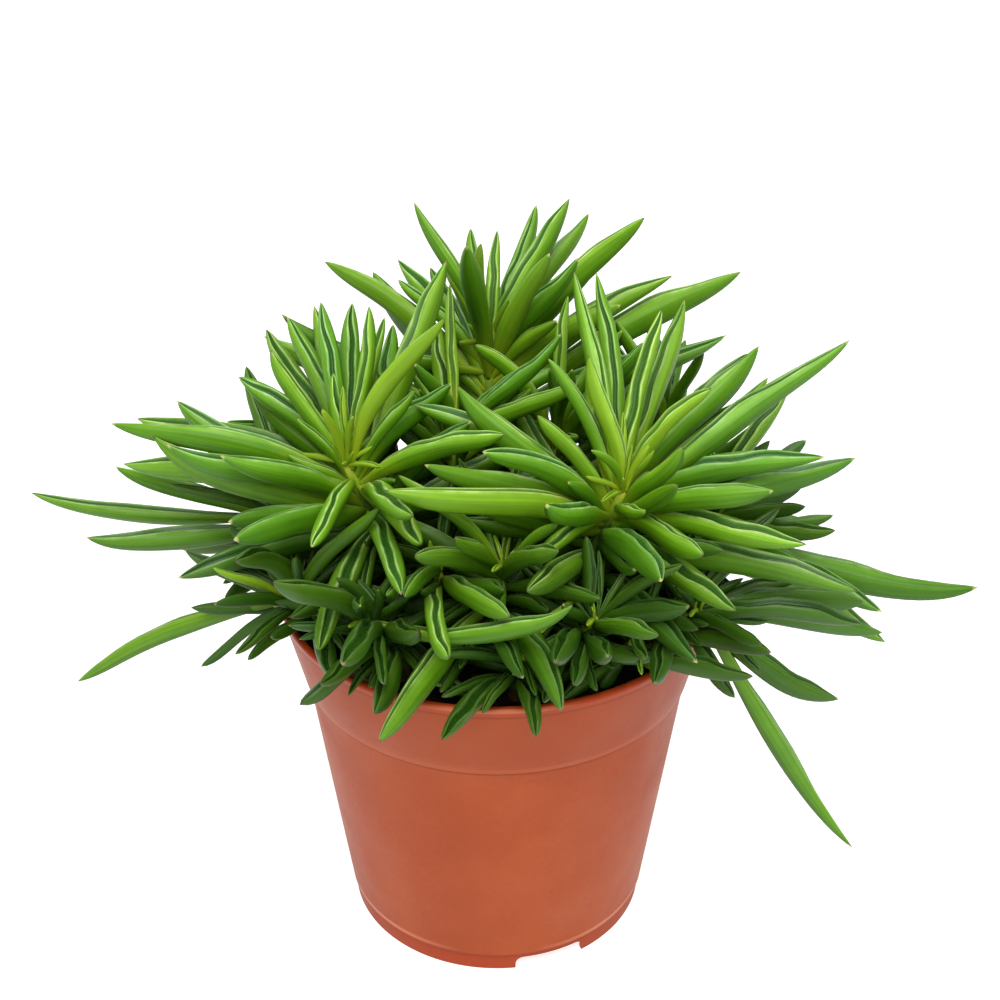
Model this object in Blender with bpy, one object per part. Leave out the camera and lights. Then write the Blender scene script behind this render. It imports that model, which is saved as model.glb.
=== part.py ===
# Potted peperomia: a succulent house plant with narrow folded leaves, in a plastic nursery pot.
# Metres, +Z up. The origin is on the pot's axis at the surface that it stands on.
# +X is the viewer's right and -Y faces the viewer.

import math
import random

import bmesh
import bpy
from mathutils import Matrix, Vector
from mathutils.bvhtree import BVHTree

MM = 0.001

# The pot, in metres
RIM_RADIUS = 0.0600
POT_HEIGHT = 0.1035
BAND_FOOT = 0.0790          # height where the rim band meets the body
BAND_RADIUS = 0.0544        # band radius at its lower edge
LEDGE = 0.0008              # step back from the band to the body
BODY_FOOT = 0.0062          # height where the body ends above the foot ring
BODY_RADIUS = 0.0439        # body radius at its lower edge
FOOT_RADIUS = 0.0429
FOOT_WALL = 0.0016          # thickness of the foot ring
FOOT_TUCK = 0.0012          # the foot ring meets the body this far up inside its rounded edge
BODY_EDGE = 0.0006          # rounding of the body's lower edge
WALL = 0.0013
LEDGE_SLOPE = 0.0006        # height over which the ledge slopes, outside
INNER_SLOPE = 0.0020        # and inside
LIP = 0.0022                # the rolled lip's thickness
FLOOR_LOW = 0.0042
FLOOR_HIGH = 0.0058
FLOOR_EDGE = 0.0008         # the wall's foot is this much thicker
POT_SIDES = 36
NOTCHES = 3
NOTCH_FIRST = 291           # degrees, the notch that the viewer sees
NOTCH_WIDTH = 0.0205
NOTCH_HEIGHT = 0.0040
NOTCH_CORNER = 0.0022
NOTCH_DEPTH = 0.0120        # how far the cutter reaches through the ring
DRAINS = 6
DRAIN_RADIUS = 0.0042
DRAIN_FIRST = 15            # degrees
DRAIN_CIRCLE = 0.0250
DRAIN_DEPTH = 0.0060
SMOOTH_ANGLE = 40           # degrees, edges sharper than this stay sharp
MERGE = 0.000005            # points of a turned shape closer than this are one

# The soil
GAP = 0.0003                # clearance between neighbouring pieces
SOIL_TOP = 0.0950
SOIL_LUMP = 0.0009
LUMP_ACROSS = 0.011         # size of the lumps
LUMP_ALONG = 0.012
LUMP_WAVES = ((1.0, 0.6, 0.0, 1.0), (-0.8, 1.7, 1.0, 1.0), (2.9, 2.3, 0.0, 0.6))  # across, along, phase, height
SOIL_SIDES = 28
SOIL_RINGS = (1.0, 0.80, 0.56, 0.32)
SOIL_EDGE = 0.0014          # rounding at the wall
HOLE_DEPTH = 0.0220
HOLE_CLEARANCE = 0.60       # around a stem, in mm
HOLE_SIDES = 6
HOLE_ABOVE = 0.010          # how far a hole's cutter stands over the soil
CHIPS = ((-34, -38, 9, 138), (-8, 45, 9, 120), (40, 22, 8, 200))  # x, y, length in mm, turn
CHIP_WIDTH = 0.42           # of its length
CHIP_THICKNESS = 0.0022
CHIP_ROUGHNESS = 0.09       # corners are off square by up to this share
CHIP_REACH = 0.62           # leaves stay clear of a chip within this share of its length
CHIP_STAND = 0.0042         # a chip's top is lower than this over the soil under its middle

# Stems and leaves, in millimetres and degrees
STEM_RADIUS = 2.0
STEM_TAPER = 0.08           # lost at each station
STEM_UPRIGHT = 0.7          # 0 for a straight stem, 1 for one that turns only at its top
STEM_SIDES = 5
STEM_LEAN = 97.5            # height above which a stem leans, clear of the soil's lumps
STEM_STATIONS = (0.0, 0.5, 1.0)
LONG_STATIONS = (0.0, 0.28, 0.60, 0.86)
SHORT_STATIONS = (0.0, 0.38, 0.78)
LONG_LEAF = 54              # a leaf longer than this has the long stations
GOLDEN_ANGLE = 137.5
LEAF_ARCH = 0.07            # rise of a leaf's middle over its chord, as a share of its length
ARCH_SPREAD = 0.05          # a leaf's arch and its sideways bow differ from its neighbours' by up to this
BOW_SPREAD = 0.045
ARCH_TURN = 2.4             # radians from one leaf to the next in those waves
BOW_TURN = 1.7
ROOT_SPREAD = 0.03          # neighbouring leaves are rooted this share of the stem apart
ROOT_TURN = 6               # every so many leaves start again at the top
LEAF_DEPTH = (4.2, 0.045)   # a leaf's depth is this, and this share of its length
PLAIN_DEPTH = (1.0, 0.108)  # and that of a leaf placed by rule
LEAF_DEEPEST = 7.8
HEART_FROM = 0.82           # share of the stem above which leaves are slimmer, by up to this
HEART_SLIM = 0.34
LEAF_WIDTH = 0.86           # of its depth
LEAF_HOOK = 0.03            # sag of a leaf before its tip turns up again, as a share of the length
HOOK_POWER = 6              # the higher, the nearer the tip the upturn starts
UPRIGHT_LEAF = 0.05         # a leaf that leans out by less than this share is turned by its stem's lean
KEEL = 0.56                 # the section's keel, margins and groove, as shares of the depth
MARGIN = 0.40
GROOVE = 0.14
FOOT_FULLNESS = 0.18        # width of the leaf's foot, as a share of its full width
FULL_FROM = 0.50            # share of the length where the leaf is full
TIP_POWER = 5               # the higher, the blunter the tip
TIP_ROUND = 0.85
ROOT_STEP = 0.7             # how far from the stem's axis a leaf is rooted
CLEARANCE = 0.45            # between a leaf and what it must not touch
SOIL_CLEARANCE = 0.0010     # in metres, over the soil and the chips
EDGE_STEP = 1.5             # a leaf is tested against the pot at points this far apart

# Leaves that are placed by rule: lengths in mm, angles in degrees
YOUNG_FIRST = 40
YOUNG_RISE = (78, 50)       # from the heart of the crown outwards
YOUNG_LENGTH = (13, 22)
YOUNG_LOOSE = 1.0
FILL_RISE = (48, 6)         # from the top of the stem downwards
FILL_DROOP = 0.85           # share of its rise that a leaf facing the viewer loses, so the hearts show
FILL_TURN_STEP = 31         # turns the spiral of each shoot by its seed
FILL_LOOSE_TURN = 12
FILL_LOOSE_RISE = 8
FILL_LOOSE_LENGTH = (0.85, 1.1)
FILL_ARCH = 0.08

# Each leafy stem: where it leaves the soil, where its crown is, and its leaves.
# A leaf row gives how far up the stem it grows (0 to 1), then its tip x, y, z.
SHOOTS = {
    "crown_right": {
        "foot": (20, -14), "top": (32, -27, 147), "young": 4,
        "fill": (17, 0.88, 0.10, 46, 38), "seed": 3, "away": 1.25,
        "leaves": (
            (0.98, 19, 6, 191), (0.96, 25, 16, 187), (1.00, 21, -20, 180), (1.00, 43, -4, 186),
            (0.98, 48, 4, 184), (0.95, 67, 0, 173), (0.92, 70, -10, 169), (1.00, 53, -24, 174),
            (0.95, 89, -8, 178), (0.85, 92, -16, 149), (0.90, 81, -30, 157), (1.00, 46, -36, 163),
            (0.80, 67, -42, 155), (0.80, 75, -46, 141), (0.90, 49, -56, 145), (0.70, 57, -60, 131),
            (1.00, 36, -46, 151), (0.75, 33, -54, 139), (1.00, 23, -38, 164), (0.85, 12, -54, 156),
            (0.90, -3, -42, 164), (0.65, 7, -64, 139), (0.95, -11, -14, 168), (0.85, -21, -16, 165),
            (0.85, -18, -34, 157), (0.80, -27, -42, 154), (0.60, 90, -40, 124), (0.80, -8, -50, 158),
            (0.50, 47, -64, 119),
        ),
    },
    "crown_left": {
        "foot": (-25, -6), "top": (-39, -13, 147), "young": 4,
        "fill": (16, 0.88, 0.10, 44, 38), "seed": 5, "away": 1.25,
        "leaves": (
            (1.00, -33, 4, 184), (1.00, -11, -16, 188), (0.95, -45, 14, 181), (0.92, -56, 18, 174),
            (0.95, -68, 2, 164), (0.90, -85, 2, 157), (0.85, -102, 4, 149), (0.85, -98, 14, 144),
            (0.90, -85, -14, 150), (0.80, -99, 0, 137), (0.80, -65, -42, 146), (0.85, -62, -50, 144),
            (0.90, -44, -52, 144), (0.90, -18, -50, 144), (0.75, -22, -54, 133), (0.60, -82, -30, 123),
            (1.00, -43, -2, 168), (0.90, -63, 24, 166), (0.60, -42, -64, 122),
            (0.90, 3, -30, 163, 0.09, 0.0), (0.95, -11, -4, 165), (0.95, -12, 14, 192),
        ),
    },
    "crown_back": {
        "foot": (-2, 22), "top": (-2, 36, 159), "young": 4,
        "fill": (16, 0.88, 0.15, 46, 42), "seed": 7, "away": 1.0,
        "leaves": (
            (1.00, -24, 46, 196), (1.00, -8, 52, 187), (1.00, -5, 28, 191), (0.95, -9, 14, 196),
            (1.00, 13, 58, 191), (1.00, 20, 44, 199), (0.95, 26, 54, 190), (0.90, 33, 50, 186),
            (0.90, 41, 38, 195), (1.00, 23, 30, 186), (1.00, 15, 22, 191),
            (0.80, 49, 44, 176), (0.75, 68, 40, 178), (0.65, 64, 30, 162), (0.85, -49, 50, 177),
            (0.80, -36, 66, 168), (0.90, -28, 70, 169), (0.65, -61, 34, 166), (0.60, -67, 44, 156),
        ),
    },
    "shoot_rim_left": {
        "foot": (-45, -18), "top": (-54, -25, 113), "young": 0,
        "fill": (12, 1.0, 0.4, 26, 28), "seed": 53, "away": 1.0,
        "leaves": ((1.00, -114, -16, 81), (1.00, -77, -34, 98)),
    },
    "shoot_far_left": {
        "foot": (-40, 6), "top": (-60, 6, 121), "young": 0,
        "fill": (13, 0.9, 0.2, 42, 36), "seed": 11, "away": 1.2,
        "leaves": (
            (1.00, -128, 6, 127, -0.02, 0.0), (0.90, -110, -8, 119, 0.02, 0.0), (1.00, -105, 14, 130),
            (0.75, -72, -20, 110),
        ),
    },
    "shoot_far_right": {
        "foot": (42, 6), "top": (60, 4, 121), "young": 0,
        "fill": (13, 0.9, 0.2, 40, 36), "seed": 13, "away": 1.2,
        "leaves": (
            (0.80, 130, -12, 107, -0.02, 0.0), (0.70, 103, -16, 102), (1.00, 92, 2, 122),
            (0.90, 92, 10, 113), (0.90, 108, 0, 82, 0.08, 0.0), (1.00, 89, -14, 126),
        ),
    },
    "shoot_low_right": {
        "foot": (40, -24), "top": (52, -31, 114), "young": 0,
        "fill": (10, 0.9, 0.3, 32, 34), "seed": 17, "away": 1.1,
        "leaves": (
            (1.00, 98, -34, 38, 0.0, 0.0), (0.80, 90, -34, 86, 0.02, 0.0), (0.90, 67, -44, 103),
            (0.80, 61, -46, 97), (0.90, 97, -20, 109), (1.00, 69, -40, 116),
        ),
    },
    "shoot_centre": {
        "foot": (-2, -24), "top": (2, -37, 131), "young": 0,
        "fill": (18, 0.95, 0.2, 32, 36), "seed": 23, "away": 1.0,
        "leaves": (
            (0.60, -27, -80, 108), (0.90, -20, -56, 145),
            (0.40, 13, -62, 110), (0.30, 17, -70, 110),
        ),
    },
    "shoot_low_left": {
        "foot": (-24, -34), "top": (-33, -42, 118), "young": 0,
        "fill": (14, 0.9, 0.2, 28, 32), "seed": 19, "away": 1.1,
        "leaves": (
            (0.60, -48, -56, 101), (0.50, -28, -72, 110), (0.50, -16, -74, 102),
            (1.00, -33, -62, 135), (0.80, -19, -66, 129), (1.00, -29, -50, 132),
            (1.00, 19, -72, 140, -0.06, 0.0),
        ),
    },
    "shoot_middle": {
        "foot": (-13, -16), "top": (-15, -30, 125), "young": 0,
        "fill": (16, 0.98, 0.3, 30, 32), "seed": 43, "away": 1.0,
        "leaves": ((0.90, -12, -66, 122), (1.00, -22, -60, 136), (0.95, 2, -60, 138)),
    },
    "shoot_inner": {
        "foot": (-9, 4), "top": (-12, 6, 146), "young": 0,
        "fill": (13, 1.0, 0.35, 40, 38), "seed": 61, "away": 1.0,
        "leaves": ((1.00, 17, 4, 176), (0.95, 22, -2, 163), (0.90, 6, -4, 169), (0.90, -16, 24, 170)),
    },
    "shoot_inner_right": {
        "foot": (13, 11), "top": (17, 14, 142), "young": 0,
        "fill": (14, 1.0, 0.3, 42, 38), "seed": 73, "away": 1.0,
        "leaves": ((0.95, 30, -2, 164), (1.00, 40, 10, 170), (1.00, -6, -4, 177)),
    },
    "shoot_front": {
        "foot": (17, -34), "top": (25, -46, 121), "young": 0,
        "fill": (14, 0.95, 0.2, 26, 30), "seed": 29, "away": 1.0,
        "leaves": (
            (1.00, 26, -34, 134), (1.00, 33, -40, 133), (0.60, 19, -68, 116), (0.80, 26, -68, 124),
            (0.50, 35, -62, 119), (1.00, 16, -58, 132), (1.00, 31, -58, 126),
            (0.60, 48, -50, 126), (0.50, 40, -56, 116), (0.70, 13, -66, 121),
        ),
    },
    "shoot_rim_front": {
        "foot": (5, -42), "top": (6, -50, 113), "young": 0,
        "fill": (12, 1.0, 0.35, 22, 24), "seed": 47, "away": 1.0,
        "leaves": (),
    },
    "shoot_low_front": {
        "foot": (31, -33), "top": (36, -41, 112), "young": 0,
        "fill": (9, 1.0, 0.35, 22, 22), "seed": 67, "away": 1.0,
        "leaves": ((0.60, 44, -44, 105), (0.90, 36, -58, 116), (0.70, 26, -56, 107), (0.60, 16, -54, 102)),
    },
    "shoot_rim_right": {
        "foot": (45, 20), "top": (55, 26, 116), "young": 0,
        "fill": (12, 1.0, 0.4, 28, 30), "seed": 59, "away": 1.0,
        "leaves": (),
    },
    "shoot_back_right": {
        "foot": (30, 30), "top": (50, 42, 128), "young": 0,
        "fill": (17, 0.95, 0.2, 42, 44), "seed": 31, "away": 1.0,
        "leaves": (),
    },
    "shoot_back_left": {
        "foot": (-30, 30), "top": (-48, 44, 122), "young": 0,
        "fill": (17, 0.95, 0.2, 42, 42), "seed": 37, "away": 1.0,
        "leaves": (),
    },
    "shoot_back_low": {
        "foot": (2, 43), "top": (4, 52, 122), "young": 0,
        "fill": (16, 0.95, 0.25, 36, 36), "seed": 41, "away": 1.0,
        "leaves": (),
    },
}


def soil_height(x, y):
    """Height of the lumpy soil, in metres, at a place given in metres."""
    waves = 0.0
    for across, along, phase, height in LUMP_WAVES:
        waves += height * math.sin(across * x / LUMP_ACROSS + along * y / LUMP_ALONG + phase)
    return SOIL_TOP + SOIL_LUMP * waves


def ground_height(x, y):
    """Height of the soil, or of a chip of bark on it."""
    height = soil_height(x, y)
    for chip_x, chip_y, length, _ in CHIPS:
        if math.hypot(x - chip_x * MM, y - chip_y * MM) < length * CHIP_REACH * MM:
            height = max(height, soil_height(chip_x * MM, chip_y * MM) + CHIP_STAND)
    return height


def pot_outside(z):
    """Radius of the pot's outside at a height, in metres."""
    if z >= BAND_FOOT:
        share = (z - BAND_FOOT) / (POT_HEIGHT - BAND_FOOT)
        return BAND_RADIUS + share * (RIM_RADIUS - BAND_RADIUS)
    share = max(0.0, (z - BODY_FOOT) / (BAND_FOOT - BODY_FOOT))
    return BODY_RADIUS + share * (BAND_RADIUS - LEDGE - BODY_RADIUS)


def wall_inside():
    """The inner wall's outline below the lip, from the top down, as (radius, height)."""
    return [
        (RIM_RADIUS - LIP, POT_HEIGHT - LIP / 2),
        (BAND_RADIUS - WALL, BAND_FOOT + LEDGE_SLOPE),
        (BAND_RADIUS - LEDGE - WALL, BAND_FOOT - INNER_SLOPE),
        (BODY_RADIUS - WALL - FLOOR_EDGE, FLOOR_HIGH),
    ]


def pot_inside(z):
    """Radius that fits inside the pot's flat-sided wall at a height, a gap clear of it."""
    outline = wall_inside()
    z = min(z, outline[0][1])
    for (high_radius, high), (low_radius, low) in zip(outline, outline[1:]):
        if z >= low:
            break
    radius = low_radius + (z - low) / (high - low) * (high_radius - low_radius)
    return radius * math.cos(math.pi / POT_SIDES) - GAP


def clear_of_pot(point):
    """True where a point, in metres, is clear of the pot and the soil."""
    x, y, z = point
    margin = CLEARANCE * MM
    if z > POT_HEIGHT + margin:
        return True
    radius = math.hypot(x, y)
    if radius > pot_outside(z) + margin:
        return True
    return radius < pot_inside(z) - margin and z > ground_height(x, y) + SOIL_CLEARANCE


def stem_point(shoot, share):
    """A point on the stem's axis, in mm: 0 at the soil, 1 at the crown."""
    foot = Vector((*shoot["foot"], STEM_LEAN))
    top = Vector(shoot["top"])
    bend = foot.lerp(top, 1 - STEM_UPRIGHT)
    bend.z = (foot.z + top.z) / 2
    return foot * (1 - share) ** 2 + bend * 2 * share * (1 - share) + top * share ** 2


def leaf_fullness(share):
    """Width of a leaf along its length: a narrow foot, widest near the middle, a drawn-out tip."""
    foot = FOOT_FULLNESS + (1 - FOOT_FULLNESS) * math.sin(min(share / FULL_FROM, 1) * math.pi / 2)
    return foot * (1 - share ** TIP_POWER) ** TIP_ROUND


def leaf_section(leaf, share, grow=0.0):
    """Keel, two margins and the groove's bottom of the folded blade, in mm. A plain leaf has no groove."""
    full = leaf_fullness(share)
    half = leaf["width"] / 2 * full + grow
    deep = leaf["depth"] * full
    keel = (0.0, -KEEL * deep - grow)
    right = (half, MARGIN * deep + grow)
    left = (-half, MARGIN * deep + grow)
    if leaf["plain"]:
        return keel, right, left
    return keel, right, (0.0, GROOVE * deep), left


def leaf_place(leaf, share):
    """Point, sideways and upward directions of a leaf's midline at a share of its length."""
    chord = leaf["tip"] - leaf["base"]
    length = chord.length
    side = Vector((-chord.y, chord.x, 0))
    if side.length < UPRIGHT_LEAF * length:
        side = Vector((-leaf["out"].y, leaf["out"].x, 0))
    side.normalize()
    lift = chord.cross(side).normalized()
    if lift.z < 0:
        lift = -lift
    bulge = 4 * share * (1 - share)
    slope = 4 * (1 - 2 * share)
    sway = lift * leaf["arch"] + side * leaf["bow"]
    point = leaf["base"] + chord * share + sway * (length * bulge)
    tangent = (chord + sway * (length * slope)).normalized()
    up = (lift - tangent * lift.dot(tangent)).normalized()
    point = point + up * (LEAF_HOOK * length * (share ** HOOK_POWER - share))
    return point, up.cross(tangent), up


def leaf_rings(leaf, grow=0.0, start=0):
    """Cross-sections of a leaf in mm, from its foot or a later station on, and its tip."""
    long = not leaf["plain"] and (leaf["tip"] - leaf["base"]).length > LONG_LEAF
    stations = LONG_STATIONS if long else SHORT_STATIONS
    rings = []
    for share in stations[start:]:
        point, across, up = leaf_place(leaf, share)
        rings.append([point + across * x + up * y for x, y in leaf_section(leaf, share, grow)])
    return rings, leaf_place(leaf, 1.0)[0]


def leaf_mesh(leaf, grow=0.0, start=0):
    """Points in metres and faces of the closed leaf solid."""
    rings, tip = leaf_rings(leaf, grow, start)
    points = [p * MM for ring in rings for p in ring] + [tip * MM]
    count = len(rings[0])
    faces = [tuple(range(count - 1, -1, -1))]
    for ring in range(len(rings) - 1):
        for k in range(count):
            a = ring * count + k
            b = ring * count + (k + 1) % count
            faces.append((a, b, b + count))
            faces.append((a, b + count, a + count))
    last = (len(rings) - 1) * count
    for k in range(count):
        faces.append((last + k, last + (k + 1) % count, len(points) - 1))
    return points, faces


def new_leaf(shoot, share, tip, arch, bow, plain):
    """A leaf's description, its size following its length."""
    base = stem_point(shoot, share)
    out = Vector((shoot["top"][0] - shoot["foot"][0], shoot["top"][1] - shoot["foot"][1], 0))
    flat = Vector((tip.x - base.x, tip.y - base.y, 0))
    base = base + flat.normalized() * ROOT_STEP
    length = (tip - base).length
    least, slope = PLAIN_DEPTH if plain else LEAF_DEPTH
    depth = min(least + slope * length, LEAF_DEEPEST)
    depth *= 1 - HEART_SLIM * max(0.0, share - HEART_FROM) / (1 - HEART_FROM)
    return {
        "base": base, "tip": tip, "arch": arch, "bow": bow,
        "depth": depth, "width": depth * LEAF_WIDTH, "out": out, "plain": plain,
    }


def meets_pot(leaf):
    """True where one of a leaf's lengthwise edges meets the pot, the soil or a chip."""
    rings, tip = leaf_rings(leaf)
    for ring, after in zip(rings, rings[1:] + [[tip] * len(rings[0])]):
        for start, end in zip(ring, after):
            steps = math.ceil((end - start).length / EDGE_STEP)
            for k in range(steps):
                if not clear_of_pot(start.lerp(end, (k + 1) / steps) * MM):
                    return True
    return False


def crosses(leaf, name, placed):
    """True where a leaf meets the pot, the soil, a stem or a leaf that is already there."""
    if meets_pot(leaf):
        return True
    points, faces = leaf_mesh(leaf, CLEARANCE)
    outer, outer_faces = leaf_mesh(leaf, CLEARANCE, 1)
    low = Vector([min(p[k] for p in points) for k in range(3)])
    high = Vector([max(p[k] for p in points) for k in range(3)])
    tree = BVHTree.FromPolygons(points, faces)
    outer_tree = BVHTree.FromPolygons(outer, outer_faces)
    for other in placed:
        if any(low[k] > other["high"][k] or high[k] < other["low"][k] for k in range(3)):
            continue
        if other["name"] == name:
            if other["outer"] and outer_tree.overlap(other["outer"]):
                return True
        elif tree.overlap(other["tree"]):
            return True
    return False


def put(points, faces, name, placed, outer=None):
    """Keeps a solid among the things that later leaves stay clear of."""
    placed.append({
        "name": name,
        "low": [min(p[k] for p in points) for k in range(3)],
        "high": [max(p[k] for p in points) for k in range(3)],
        "tree": BVHTree.FromPolygons(points, faces),
        "outer": outer,
    })


def put_leaf(leaf, name, placed):
    points, faces = leaf_mesh(leaf)
    put(points, faces, name, placed, BVHTree.FromPolygons(*leaf_mesh(leaf, 0.0, 1)))


# The small changes tried in turn to bend a leaf clear: more arch or bow, and a tip further off or nearer
BENDS = [
    (arch, bow, shift)
    for arch, bow in ((0, 0), (0.03, 0), (-0.04, 0), (0, 0.05), (0, -0.05), (0.07, 0), (0.07, 0.05),
                      (0.07, -0.05), (-0.09, 0.04), (-0.09, -0.04), (0.13, 0))
    for shift in (0, 4, -4, 8, -8, 12, -12)
]
EYE = Vector((0.9, -400, 352.7))    # a tip moved further off or nearer stays on its line from here, in mm


def bend_clear(shoot, name, share, tip, arch, bow, plain, placed):
    """The leaf with the smallest bend that keeps it clear of everything, or None."""
    for d_arch, d_bow, shift in BENDS:
        end = tip + (tip - EYE) * (shift / (tip.y - EYE.y))
        leaf = new_leaf(shoot, share, end, arch + d_arch, bow + d_bow, plain)
        if not crosses(leaf, name, placed):
            return leaf
    return None


def stem_rings(shoot):
    """Rings of the stem's tube, in mm, from the bottom of its hole to the crown."""
    foot = Vector((*shoot["foot"], (SOIL_TOP - HOLE_DEPTH + GAP) / MM))
    spine = [foot] + [stem_point(shoot, share) for share in STEM_STATIONS]
    rings = []
    for index, point in enumerate(spine):
        ahead = spine[min(index + 1, len(spine) - 1)]
        behind = spine[max(index - 1, 0)]
        along = (ahead - behind).normalized()
        if index < 2:
            along = Vector((0, 0, 1))
        across = along.cross(Vector((0, 1, 0))).normalized()
        radius = STEM_RADIUS * (1 - STEM_TAPER * index)
        ring = []
        for k in range(STEM_SIDES):
            angle = 2 * math.pi * k / STEM_SIDES
            spoke = across * math.cos(angle) + along.cross(across) * math.sin(angle)
            ring.append(point + spoke * radius)
        rings.append(ring)
    return rings


def stem_mesh(shoot):
    """Points in metres and faces of the closed stem."""
    rings = stem_rings(shoot)
    points = [p * MM for ring in rings for p in ring]
    faces = [tuple(range(STEM_SIDES - 1, -1, -1))]
    for ring in range(len(rings) - 1):
        for k in range(STEM_SIDES):
            a = ring * STEM_SIDES + k
            b = ring * STEM_SIDES + (k + 1) % STEM_SIDES
            faces.append((a, b, b + STEM_SIDES))
            faces.append((a, b + STEM_SIDES, a + STEM_SIDES))
    faces.append(tuple(range(len(points) - STEM_SIDES, len(points))))
    return points, faces


def chip_shape(x, y, length, turn):
    """A chip of bark where it lies on the soil, as an open bmesh."""
    bm = bmesh.new()
    bmesh.ops.create_cube(bm, size=1.0)
    bmesh.ops.subdivide_edges(bm, edges=bm.edges, cuts=1, use_grid_fill=True)
    draw = random.Random(turn)
    for vert in bm.verts:
        vert.co += Vector([draw.uniform(-CHIP_ROUGHNESS, CHIP_ROUGHNESS) for _ in range(3)])
    bmesh.ops.scale(bm, verts=bm.verts, vec=(length * MM, length * CHIP_WIDTH * MM, CHIP_THICKNESS))
    bmesh.ops.rotate(bm, verts=bm.verts, cent=(0, 0, 0), matrix=Matrix.Rotation(math.radians(turn), 3, "Z"))
    bmesh.ops.translate(bm, verts=bm.verts, vec=(x * MM, y * MM, 0))
    lift = max(soil_height(v.co.x, v.co.y) - v.co.z for v in bm.verts) + GAP
    bmesh.ops.translate(bm, verts=bm.verts, vec=(0, 0, lift))
    bmesh.ops.triangulate(bm, faces=bm.faces)
    return bm


def heading(turn, rise):
    """The direction at an angle round the vertical and an angle over the level, in radians."""
    return Vector((math.cos(rise) * math.cos(turn), math.cos(rise) * math.sin(turn), math.sin(rise)))


def young_tip(shoot, index, count, draw):
    """Tip of one of the small upright leaves in the heart of a crown."""
    turn = math.radians(GOLDEN_ANGLE * index + YOUNG_FIRST)
    outward = index / count
    rise = math.radians(YOUNG_RISE[0] + (YOUNG_RISE[1] - YOUNG_RISE[0]) * outward)
    length = YOUNG_LENGTH[0] + (YOUNG_LENGTH[1] - YOUNG_LENGTH[0]) * outward + draw.uniform(-YOUNG_LOOSE, YOUNG_LOOSE)
    return Vector(shoot["top"]) + heading(turn, rise) * length


def fill_leaf(shoot, index, draw):
    """Place and tip of one of the leaves that spiral down a stem between the long ones."""
    count, high, low, long_high, long_low = shoot["fill"]
    down = index / max(count - 1, 1)
    share = high + (low - high) * down
    turn = GOLDEN_ANGLE * index + shoot["seed"] * FILL_TURN_STEP
    turn = math.radians(turn + draw.uniform(-FILL_LOOSE_TURN, FILL_LOOSE_TURN))
    rise = FILL_RISE[0] + (FILL_RISE[1] - FILL_RISE[0]) * down
    rise *= 1 - FILL_DROOP * max(0.0, -math.sin(turn))
    rise = math.radians(rise + draw.uniform(-FILL_LOOSE_RISE, FILL_LOOSE_RISE))
    length = (long_high + (long_low - long_high) * down) * draw.uniform(*FILL_LOOSE_LENGTH)
    if math.sin(turn) > 0:
        length *= 1 + (shoot["away"] - 1) * math.sin(turn)
    base = stem_point(shoot, share)
    return share, base + heading(turn, rise) * length


def grow_plant():
    """Every leaf of every shoot, each bent clear of the rest."""
    placed = []
    leaves = {name: [] for name in SHOOTS}
    for name, shoot in SHOOTS.items():
        put(*stem_mesh(shoot), name, placed)
    for name, shoot in SHOOTS.items():
        for index, row in enumerate(shoot["leaves"]):
            share, x, y, z, *bend = row
            arch = LEAF_ARCH + ARCH_SPREAD * math.sin(ARCH_TURN * index + shoot["seed"])
            bow = BOW_SPREAD * math.sin(BOW_TURN * index + shoot["seed"])
            if bend:
                arch, bow = bend
            place = share - ROOT_SPREAD * (index % ROOT_TURN)
            leaf = bend_clear(shoot, name, place, Vector((x, y, z)), arch, bow, False, placed)
            if leaf:
                leaves[name].append(leaf)
                put_leaf(leaf, name, placed)
    for name, shoot in SHOOTS.items():
        draw = random.Random(shoot["seed"])
        rule = [(1.0, young_tip(shoot, index, shoot["young"], draw)) for index in range(shoot["young"])]
        rule += [fill_leaf(shoot, index, draw) for index in range(shoot["fill"][0])]
        for share, tip in rule:
            leaf = bend_clear(shoot, name, share, tip, FILL_ARCH, 0.0, True, placed)
            if leaf:
                leaves[name].append(leaf)
                put_leaf(leaf, name, placed)
    return leaves


def new_material(name, color, roughness):
    """A plain Principled material."""
    material = bpy.data.materials.new(name)
    material.use_nodes = True
    shader = material.node_tree.nodes["Principled BSDF"]
    shader.inputs["Base Color"].default_value = (*color, 1.0)
    shader.inputs["Roughness"].default_value = roughness
    material.diffuse_color = (*color, 1.0)
    return material


def new_object(name, mesh, material=None):
    """An object in the scene, with one material where it has one."""
    obj = bpy.data.objects.new(name, mesh)
    bpy.context.scene.collection.objects.link(obj)
    if material:
        mesh.materials.append(material)
    return obj


def mesh_from(points, faces, name):
    mesh = bpy.data.meshes.new(name)
    mesh.from_pydata([tuple(p) for p in points], [], faces)
    return mesh


def mesh_from_bmesh(bm, name):
    bmesh.ops.recalc_face_normals(bm, faces=bm.faces)
    mesh = bpy.data.meshes.new(name)
    bm.to_mesh(mesh)
    bm.free()
    return mesh


def spin_profile(profile, sides):
    """A solid turned about Z from a closed outline of (radius, height) points."""
    bm = bmesh.new()
    verts = [bm.verts.new((radius, 0, height)) for radius, height in profile]
    edges = [bm.edges.new((verts[k], verts[(k + 1) % len(verts)])) for k in range(len(verts))]
    bmesh.ops.spin(
        bm, geom=verts + edges, cent=(0, 0, 0), axis=(0, 0, 1),
        angle=2 * math.pi, steps=sides, use_merge=True,
    )
    bmesh.ops.remove_doubles(bm, verts=bm.verts, dist=MERGE)
    return bm


def cutter(name, mesh):
    """An object that only cuts others."""
    obj = new_object(name, mesh)
    obj.hide_render = True
    obj.display_type = "WIRE"
    return obj


def cut(obj, tool):
    """Takes one solid out of another, applied at once, and removes the cutter."""
    modifier = obj.modifiers.new("cut", "BOOLEAN")
    modifier.operation = "DIFFERENCE"
    modifier.solver = "EXACT"
    modifier.object = tool
    apply_modifiers(obj)
    bpy.data.objects.remove(tool)


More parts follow.
